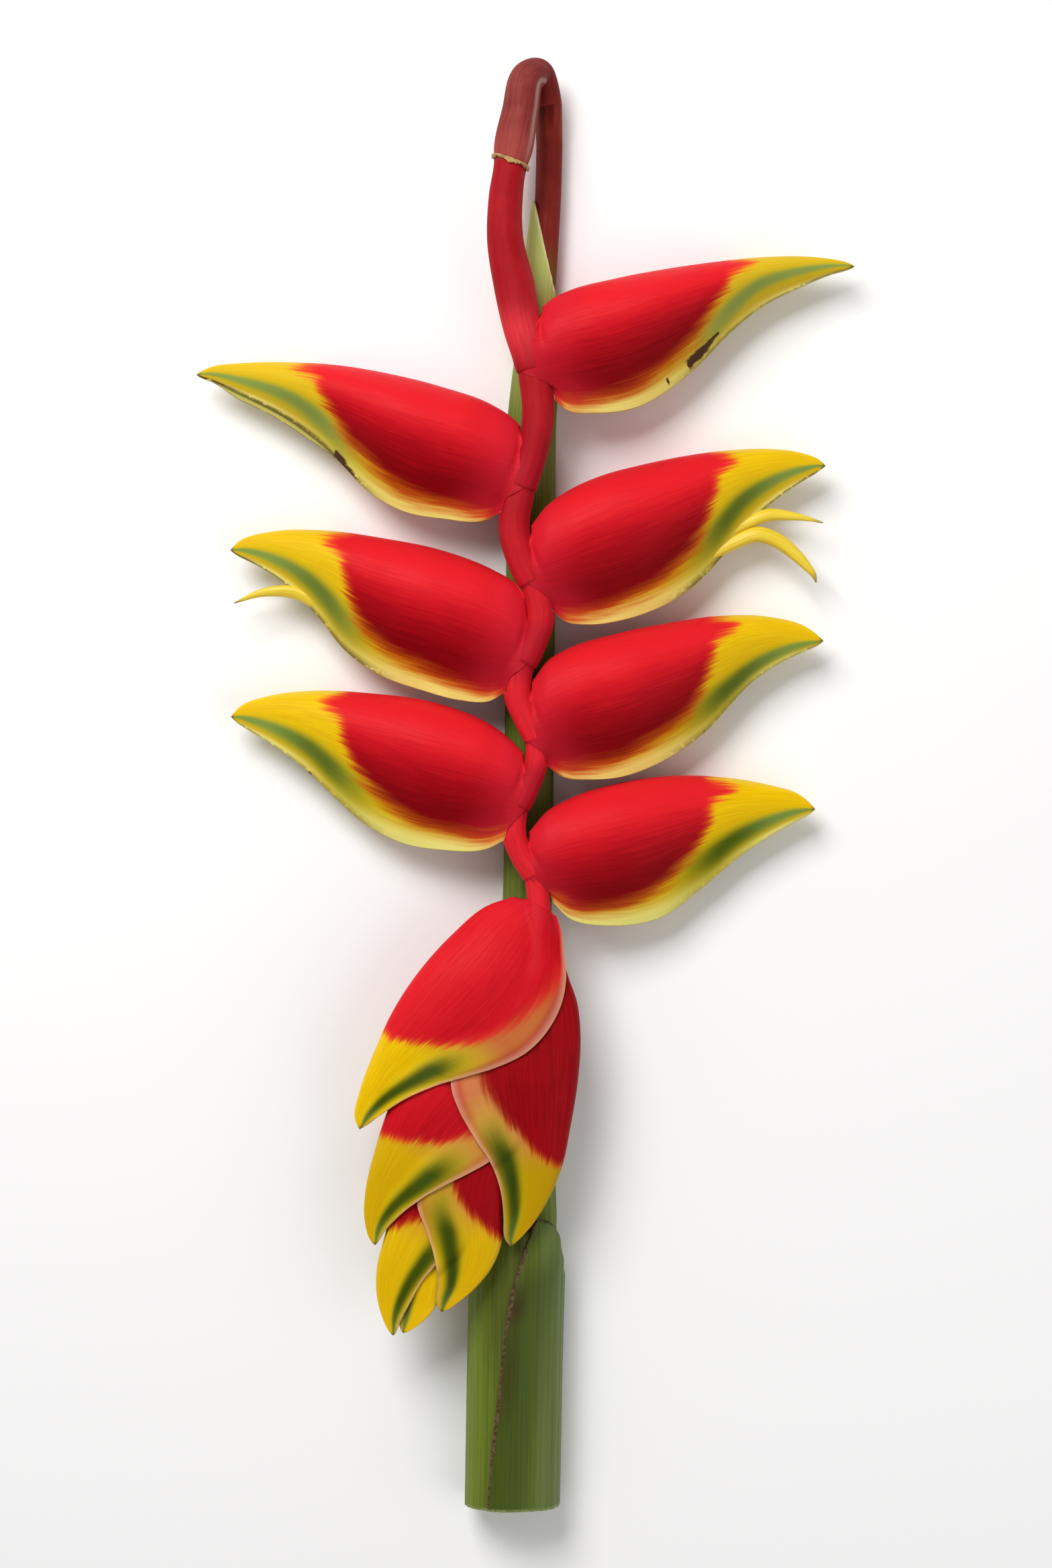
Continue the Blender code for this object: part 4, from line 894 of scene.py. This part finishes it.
def makeBracts():
    form, fit = bractForm, bractForm["seat"]
    material = makeBractMaterial()
    axis = headLine[::3, [0, 1, 3]]

    def seat(flat, u, v, sunk, half, closed=0.0):
        # over the axis: a groove by the keel, a flush run-out in the middle, and a low fold by the lip
        level = rodHeight(flat, axis)
        beside = level <= fit["rodFrom"]
        level = level + sunk
        clear = fit["baseSunk"] + fit["clear"] * ease(0.0, fit["clearBy"], u)
        over = np.where(beside, form["farBelow"], level + clear)
        over = softMax(half, over, fit["blend"] + fit["closedBlend"] * closed)
        fold = np.maximum(ease(0.62, 0.8, v), closed)
        foot = np.maximum(level + fit["foot"] + fit["foldLift"] * fold, fit["leastFoot"])
        share = np.maximum(np.maximum(1 - ease(0.1, 0.28, v), fold), 1 - ease(*fit["besideRod"], level))
        rise = quarterRound(u / fit["steepBy"]) * share + ease(0.0, fit["flushBy"], u) * (1 - share)
        return foot + (over - foot) * rise

    for name, spec in openBracts.items():
        def height(u, flat):
            return np.broadcast_to(openHeight(spec["belly"], u), flat.shape[:2])

        def lift(flat, u, v, half):
            return seat(flat, u, v, form["headHeight"] - openHeight(spec["belly"], u), half)

        buildBract(name, spec, height, lift, form["openWall"], 1, openFields, material)
    print("open bracts made")

    younger = []
    apart = form["shellClearance"] + form["hangingWall"]
    for name, spec in reversed(hangingBracts.items()):
        def height(u, flat):
            return clusterHeight(flat[..., 1])

        def lift(flat, u, v, half):
            need = np.full_like(half, form["farBelow"])
            for shell in younger:
                need = np.maximum(need, shellHeight(flat, shell, form["rollingBall"]) + apart)
            return softMax(seat(flat, u, v, 0.0, half, closed=1.0), need, fit["shellBlend"])

        shell = buildBract(name, spec, height, lift, form["hangingWall"], 2, hangingFields, material)
        younger.append(shell[::2].reshape(-1, 3))
    print("hanging bracts made")


# Flowers

flowerForm = {
    "seat": 1.0,
    "root": 0.9,
    "stalk": ((0.06, 1.0, 0.0, 1.2), (0.13, 2.0, 0.0, 2.2)),
    "fan": (
        ((0.08, 2.0, 0.0, 1.6), (0.20, 8.0, 3.0, 2.2), (0.31, 12.0, 5.0, 2.2), (0.44, 12.0, 5.0, 0.6)),
        ((0.08, 1.0, 0.0, 1.6), (0.22, 2.0, -3.5, 2.3), (0.36, 4.0, -5.5, 2.2), (0.48, 4.0, -5.0, 0.6)),
        ((0.08, 0.0, 0.0, 1.6), (0.24, -5.0, 4.0, 2.3), (0.38, -6.0, 5.5, 2.2), (0.52, -2.0, 5.0, 0.6)),
    ),
    "showing": {
        "bract_03": (
            ((46, 93, 2.2), (74, 98, 2.6), (92, 107.5, 2.9), (102, 111.2, 2.9), (111, 110.9, 2.1),
             (120, 109.4, 0.9), (125, 108.1, 0.3)),
            ((42, 91, 2.2), (70, 91.5, 2.8), (88.5, 100, 3.3), (97, 103, 3.6), (106, 100.3, 3.4),
             (112.5, 95.4, 2.9), (118, 89.9, 2.1), (121.6, 85.2, 1), (122.2, 82.9, 0.3)),
        ),
        "bract_04": (
            ((-42, 58, 2.2), (-66, 62, 2.6), (-84, 72, 2.9), (-98, 79, 2.9), (-111.6, 78.6, 1.8),
             (-123, 74.3, 0.3)),
        ),
    },
    "showingStart": (0.08, 1.5, 0.0, 1.6),
    "stalkGrid": (10, 14),
    "fanGrid": (26, 14),
    "showingGrid": (90, 28),
    "groove": 0.10,
    "patternReach": 4.0,
    "yellow": ("E2BE1C", "EFD23A"),
    "layers": (("paleRoot", 1, "E9DFA0"), ("tipShade", 1, "8E8A3A")),
    "shader": {"Roughness": 0.42, "Subsurface Weight": 0.1, "Subsurface Radius": (1.0, 0.8, 0.2),
               "Subsurface Scale": 0.002},
}


def makeFlowerMaterial():
    look = flowerForm
    board = Board("flowerSkin")
    lines = board.noise(board.stretch(board.field("run", "Vector"), (0.06, 1.0, 1.0)), 1.3)
    colour = board.layers(board.mix(board.span(lines, 0.3, 0.7), *look["yellow"]), look["layers"])
    return board.finish(colour, ((lines, 0.3, 0.2),), look["shader"])


def makeFlowers():
    # three-sided tubes along routes: share of the bract's length, drop across it, rise and radius; the routes
    # that show are x, y and radius
    form = flowerForm
    material = makeFlowerMaterial()
    axis = headLine[:, [0, 1, 3]]
    for bract, spec in openBracts.items():
        keel, lip, tip = np.array(spec["keel"][0]), np.array(spec["lip"][0]), np.array(spec["tip"])
        middle = (keel + lip) / 2
        root = axis[nearest(axis[:, :2], middle)]
        start = root[:2] + unit(middle - root[:2]) * (root[2] + form["seat"])
        length = np.linalg.norm(tip - middle)
        along = (tip - middle) / length
        down = np.array([along[1], -along[0]])
        down = down if np.dot(down, lip - keel) > 0 else -down

        def place(share, drop, rise, radius):
            return (*(middle + along * length * share + down * drop), rise, radius)

        routes = [([(*start, 0.0, form["root"])] + [place(*row) for row in form["stalk"]], form["stalkGrid"])]
        routes += [([place(*row) for row in route], form["fanGrid"]) for route in form["fan"]]
        for route in form["showing"].get(bract, ()):
            rows = [place(*form["showingStart"])] + [(x, y, 0.0, radius) for x, y, radius in route]
            routes.append((rows, form["showingGrid"]))
        points, faces, runs, tips, roots = [], [], [], [], []
        count = 0
        for rows, (steps, sides) in routes:
            rows = np.array(rows)
            share = np.linalg.norm(rows[:, :2] - middle, axis=1) / length
            rows[:, 2] += openHeight(spec["belly"], share)
            line = smoothLine(rows, steps, axes=3)
            ring, turn = carriedTube(line, sides, lambda a: 1 - form["groove"] * (0.5 + 0.5 * np.cos(3 * a)))
            t = np.repeat(np.linspace(0, 1, steps), sides)
            far = np.linalg.norm(ring[..., :2] - middle, axis=-1)
            points.append(ring.reshape(-1, 3))
            faces += tubeFaces(steps, sides, count)
            runs.append(runAlong(far, turn, form["patternReach"]).reshape(-1, 3))
            tips.append(ease(0.95, 1.0, t))
            roots.append(1 - ease(0.0, 0.3, t))
            count += steps * sides
        fields = {"run": np.vstack(runs), "tipShade": np.concatenate(tips), "paleRoot": np.concatenate(roots)}
        node = bract.replace("bract", "flowers")
        makePiece(fineName(node), np.vstack(points), faces, fields, node, material)
    print("flowers made")


# Leaf sheaths round the stem

sheathForm = {
    "tubes": {
        "sheath_inner": {"radius": 6.6, "widen": (1.08, 1.25), "low": 200.0, "high": 245.0, "side": 170.0,
                         "power": 1.2, "papery": 0.0, "creamEdge": 0.9, "pale": 0.85},
        "sheath_second": {"radius": 8.65, "widen": (1.24, 1.30), "low": -96.0, "high": -62.0, "side": 20.0,
                          "power": 1.6, "papery": 0.9, "creamEdge": 0.0, "pale": 0.0},
        "sheath_third": {"radius": 10.7, "widen": (1.30, 1.34), "low": -164.0, "high": -132.0, "side": 200.0,
                         "power": 1.6, "papery": 0.9, "creamEdge": 0.0, "pale": 0.0},
    },
    "wall": 1.6,
    "mouthRoom": 20.0,
    "levelShare": 0.7,
    "cutEnd": -306.0,
    "cutShown": (-305.9, -305.2),
    "slimFrom": (150, 214),
    "sides": 96,
    "rows": 90,
    "patternReach": 14.0,
    "green": ("5A6A1C", "6E7E28"),
    # some layers are painted light: a lit side, a painted shade with a darker edge band, and beside real
    # stains a shadow under the margin
    "layers": (("veins", 0.7, "3E4E12"), ("fine", 0.35, "8A963C"), ("sunny", 1, "7C8E20"),
               ("bloom", 1, "647448"), ("shadeAndDarkEdge", 1, "38470E"), ("stainAndShadow", 1, "3A3210"),
               ("pale", 1, "BECC70"), ("creamEdge", 1, "E2DAA0")),
    "dry": ("40301E", "6A5238"),
    "cut": ("B4BC7A", "8F9E55"),
    "shader": {"Roughness": 0.42, "Specular IOR Level": 0.18},
}
outerSheathForm = {
    "radius": 13.0, "widen": 1.28, "low": -212.0, "high": -184.0, "wrap": 390.0, "gap": 0.7,
    "margin": ((-306.0, 118.0), (-278.0, 112.5), (-259.0, 107.0), (-231.0, 100.0), (-215.0, 94.0),
               (-203.0, 85.0), (-184.0, 66.0)),
    "shoulderTurns": 3.4, "columns": 130, "rows": 80, "patternReach": 15.6,
}


def sheathRows(mouth, rows):
    # y of every row: level from the cut end, then slanting up to the mouth over the last stretch
    form = sheathForm
    level = mouth.min() - form["mouthRoom"]
    share = np.linspace(0, 1, rows)[:, None]
    flatPart = form["cutEnd"] + (level - form["cutEnd"]) * np.clip(share / form["levelShare"], 0, 1)
    return flatPart + (mouth - level) * np.clip((share - form["levelShare"]) / (1 - form["levelShare"]), 0, 1)


def sheathSkin(y, turn, radius, widen):
    # stem centre + radius * (widen * cos a, sin a) at each y
    x, z = stemCentre(y)
    return np.stack([x + widen * radius * np.cos(turn), y, z + radius * np.sin(turn)], axis=-1)


def makeSheathMaterial():
    look = sheathForm
    board = Board("sheathSkin")
    run = board.field("run", "Vector")
    place = board.place()
    veins = board.noise(board.stretch(run, (0.012, 1.0, 1.0)), 1.1, 4.0, 0.6)
    fine = board.noise(board.stretch(run, (0.01, 2.6, 1.0)), 1.0)
    cloud = board.noise(board.stretch(place, (1.0, 0.35, 1.0)), 30.0)
    board.patterns = {"veins": board.span(veins, 0.42, 0.7), "fine": board.span(fine, 0.5, 0.75)}
    green = board.layers(board.mix(board.span(cloud, 0.3, 0.7), *look["green"]), look["layers"])
    edge = board.span(board.ruffle(board.field("papery"), (board.noise(place, 260.0, 4.0), 0.8)), 0.4, 0.75)
    dry = board.mix(board.span(board.noise(place, 700.0, 2.0), 0.35, 0.65), *look["dry"])
    cut = board.mix(board.span(board.noise(place, 900.0, 2.0), 0.4, 0.6), *look["cut"])
    colour = board.mix(board.field("cut"), board.mix(edge, green, dry), cut)
    return board.finish(colour, ((veins, 0.4, 0.5), (fine, 0.3, 0.2)), look["shader"])


def makeSheaths():
    # three tubes with a slanting mouth, low + (high - low) * (half + half cos a)^power, then the outermost
    # sheath, a sheet rolled once and a bit round them
    form = sheathForm
    material = makeSheathMaterial()
    turn = np.linspace(0, 2 * math.pi, form["sides"], endpoint=False)
    for node, spec in form["tubes"].items():
        rise = (0.5 + 0.5 * np.cos(turn - math.radians(spec["side"]))) ** spec["power"]
        mouth = spec["low"] + (spec["high"] - spec["low"]) * rise
        y = sheathRows(mouth, form["rows"])
        toMouth = mouth - y
        thin = form["wall"] * (1 - 0.6 * ease(25, 0, toMouth))
        ribs = 0.12 * np.cos(24 * turn) + 0.06 * np.cos(41 * turn + 1)
        slim = ease(*form["slimFrom"], y)
        radius = spec["radius"] - 0.6 * slim
        inner = sheathSkin(y, turn, radius, spec["widen"][0] - 0.04 * slim)
        outer = sheathSkin(y, turn, radius + thin + ribs, spec["widen"][1] - 0.17 * slim)
        outer[..., 2] = np.maximum(outer[..., 2], 0.0)
        rows, sides = y.shape
        back = rows * sides
        last = back - sides
        j = np.arange(sides)
        k = (j + 1) % sides
        tube = np.array(ringFaces(rows, sides))
        cutEnd = np.stack([k, j, back + j, back + k], axis=-1)
        mouthEnd = np.stack([last + j, last + k, back + last + k, back + last + j], axis=-1)
        faces = np.vstack([tube, tube[:, ::-1] + back, cutEnd, mouthEnd]).tolist()
        looks = {
            "run": runAlong(y, turn, form["patternReach"]),
            "papery": (1 - ease(0.4, 2.2, toMouth)) * spec["papery"],
            "creamEdge": (1 - ease(0.9, 3.4, toMouth)) * spec["creamEdge"],
            "pale": spec["pale"] * ease(140, 215, y),
            # painted shade: the inner tubes are darkened a little, as they lie under the outer sheath and the
            # cluster
            "shadeAndDarkEdge": 0.1 + 0 * y,
            "cut": 1 - ease(*form["cutShown"], y),
            **dict.fromkeys(("bloom", "stainAndShadow", "sunny"), 0 * y),
        }
        fields = {label: np.concatenate([value, value]).reshape(-1, *value.shape[2:])
                  for label, value in looks.items()}
        points = np.concatenate([outer.reshape(-1, 3), inner.reshape(-1, 3)])
        makePiece(fineName(node), points, faces, fields, node, material)

    spec = outerSheathForm
    roll = np.linspace(0, 1, spec["columns"])
    shoulder = 0.5 + 0.5 * np.cos(math.pi * np.clip(roll * spec["shoulderTurns"], 0, 1))
    shoulder = shoulder + 0.8 * ease(0.55, 0.8, roll)
    mouth = spec["low"] + (spec["high"] - spec["low"]) * shoulder
    y = sheathRows(mouth, spec["rows"])
    angle = np.radians(follow(smoothLine(spec["margin"], 200), y) - roll * spec["wrap"])
    thin = form["wall"] * (1 - 0.55 * (1 - ease(0.0, 0.06, roll)))
    radius = spec["radius"] + (form["wall"] + spec["gap"]) * (1 - roll)
    ribs = 0.16 * np.cos(angle * 22) + 0.3 * np.cos(angle * 5.3 + 2.2) - 0.35 * bump(1.05, 0.06, angle)
    inner = sheathSkin(y, angle, radius, spec["widen"])
    outer = sheathSkin(y, angle, radius + thin + ribs, spec["widen"])
    fromEdge = roll * 100 + 0 * y
    wander = 0.8 * np.sin(y * 0.11) + 0.6 * np.sin(y * 0.31 + 1)
    behind = angle + 2 * math.pi - angle[:, :1]
    edgeStain = (1 - ease(2.5, 7.0, fromEdge)) * np.maximum(0.95 * bump(-221, 9, y), 0.6 * bump(-246, 22, y))
    looks = {
        "run": np.stack([y, spec["patternReach"] * angle, 0 * y + 90], axis=-1),
        "papery": np.maximum(1 - ease(0.3, 1.3 + 0.5 * wander, fromEdge),
                             0.8 * (1 - ease(0.3, 1.2, mouth - y)) * shoulder),
        # darker a little everywhere as painted shade, and darker still in a band beside the margin lower down
        "shadeAndDarkEdge": 0.08 + 0.7 * (1 - ease(8, 18, fromEdge)) * ease(-190, -215, y),
        # dark stains by the margin, and a painted shadow on the layer under the margin near the top
        "stainAndShadow": np.maximum(0.45 * ease(1.0, 0.1, behind) * ease(-262, -222, y), edgeStain),
        "bloom": 0.55 * ease(1.1, 1.0, angle) * ease(-1.3, -0.4, angle),
        "sunny": 0.6 * ease(-0.45, -0.95, np.cos(angle)),
        "cut": 1 - ease(*form["cutShown"], y),
        **dict.fromkeys(("creamEdge", "pale"), 0 * y),
    }
    fields = {label: loopField(value, value) for label, value in looks.items()}
    makeWall("sheath_outer", outer, inner, form["wall"], fields, material)
    print("sheaths made")


# The dry rim of the scar below the hook

scarForm = {
    "at": 258.4,
    "tilt": 1.5,
    "deep": 1.7,
    "waves": ((0.5, 5, 0), (0.25, 13, 1), (0.15, 31, 0)),
    "sides": 120,
    "profile": ((0.0, 7.5), (0.35, 7.5), (0.7, 7.55), (1.0, 7.8), (1.0, 8.05), (0.75, 8.15), (0.35, 8.35),
                (0.0, 8.1)),
    "dry": ("8E6A3C", "BE9A64"),
    "shader": {"Roughness": 0.8},
}


def makeScar():
    # a thin wavy band: its profile, a closed loop of (share of depth, radius), turned round the limb
    spec = scarForm
    board = Board("drySkin")
    place = board.place()
    colour = board.mix(board.span(board.noise(place, 500.0), 0.35, 0.65), *spec["dry"])
    material = board.finish(colour, ((board.noise(place, 900.0), 0.5, 0.15),), spec["shader"])
    limb = stalkLine[np.argmax(stalkLine[:, 1]):]
    levels = (spec["at"], spec["at"] - spec["deep"])
    at, near = (limb[np.argmin(np.abs(limb[:, 1] - level)), :3] for level in levels)
    along = unit(near - at)
    side = unit(np.cross(along, (0.0, 0.0, 1.0)))
    face = np.cross(side, along)
    turn = np.linspace(0, 2 * math.pi, spec["sides"], endpoint=False)
    outward = np.cos(turn)[:, None] * side + np.sin(turn)[:, None] * face
    edge = spec["deep"] + sum(high * np.sin(count * turn + shift) for high, count, shift in spec["waves"])
    rings = [at + (share * edge - spec["tilt"] * np.cos(turn))[:, None] * along + outward * radius
             for share, radius in spec["profile"]]
    faces = np.array(ringFaces(len(rings) + 1, spec["sides"])) % (len(rings) * spec["sides"])
    makePiece("scarRimFine", np.concatenate(rings), faces.tolist(), {}, "scar_rim", material)
    print("scar rim made")


makeStalk()
makeBracts()
makeFlowers()
makeSheaths()
makeScar()

# Floor, light and camera

stageLook = {
    "floor": "FCFBFA", "floorRoughness": 0.9, "floorSize": 8.0,
    "sky": "FBFBFD", "skyStrength": 0.34,
    "lights": {"key": ((-0.55, 0.95, 1.35), (0, 0.02, 0), 0.9, 25.0),
               "fill": ((0.9, -0.5, 1.1), (0, 0, 0), 1.2, 4.8)},
    "lens": 85.0, "sensor": 36.0, "frameHeight": 0.655, "middle": (0.0, -0.002, 0.03),
}


def makeStage():
    # a wide pale floor, soft square lights (place, aim, size, energy) and a camera straight above, in metres
    look = stageLook
    board = Board("paleFloor")
    shader = board.tree.nodes["Principled BSDF"]
    board.fill(shader, {"Base Color": tone(look["floor"]), "Roughness": look["floorRoughness"]})
    half = look["floorSize"] / 2
    mesh = bpy.data.meshes.new("floor")
    corners = [(-half, -half, 0), (half, -half, 0), (half, half, 0), (-half, half, 0)]
    mesh.from_pydata(corners, [], [(0, 1, 2, 3)])
    mesh.materials.append(board.material)
    floor = bpy.data.objects.new("floor", mesh)
    bpy.context.scene.collection.objects.link(floor)

    world = bpy.data.worlds.new("softRoom")
    world.use_nodes = True
    sky = world.node_tree.nodes["Background"]
    sky.inputs["Color"].default_value = tone(look["sky"])
    sky.inputs["Strength"].default_value = look["skyStrength"]
    bpy.context.scene.world = world

    for name, (place, aim, size, energy) in look["lights"].items():
        data = bpy.data.lights.new(name, "AREA")
        data.shape = "SQUARE"
        data.size = size
        data.energy = energy
        light = bpy.data.objects.new(name, data)
        light.location = place
        light.rotation_euler = (Vector(aim) - Vector(place)).to_track_quat("-Z", "Y").to_euler()
        bpy.context.scene.collection.objects.link(light)

    camera = bpy.data.objects.new("camera", bpy.data.cameras.new("camera"))
    camera.data.lens = look["lens"]
    camera.data.sensor_width = look["sensor"]
    distance = look["frameHeight"] / 2 / (look["sensor"] / 2 / look["lens"])
    x, y, z = look["middle"]
    camera.location = (x, y, z + distance)
    bpy.context.scene.collection.objects.link(camera)
    bpy.context.scene.camera = camera
    bpy.context.scene.view_settings.view_transform = "Standard"


makeStage()
print("stage made")
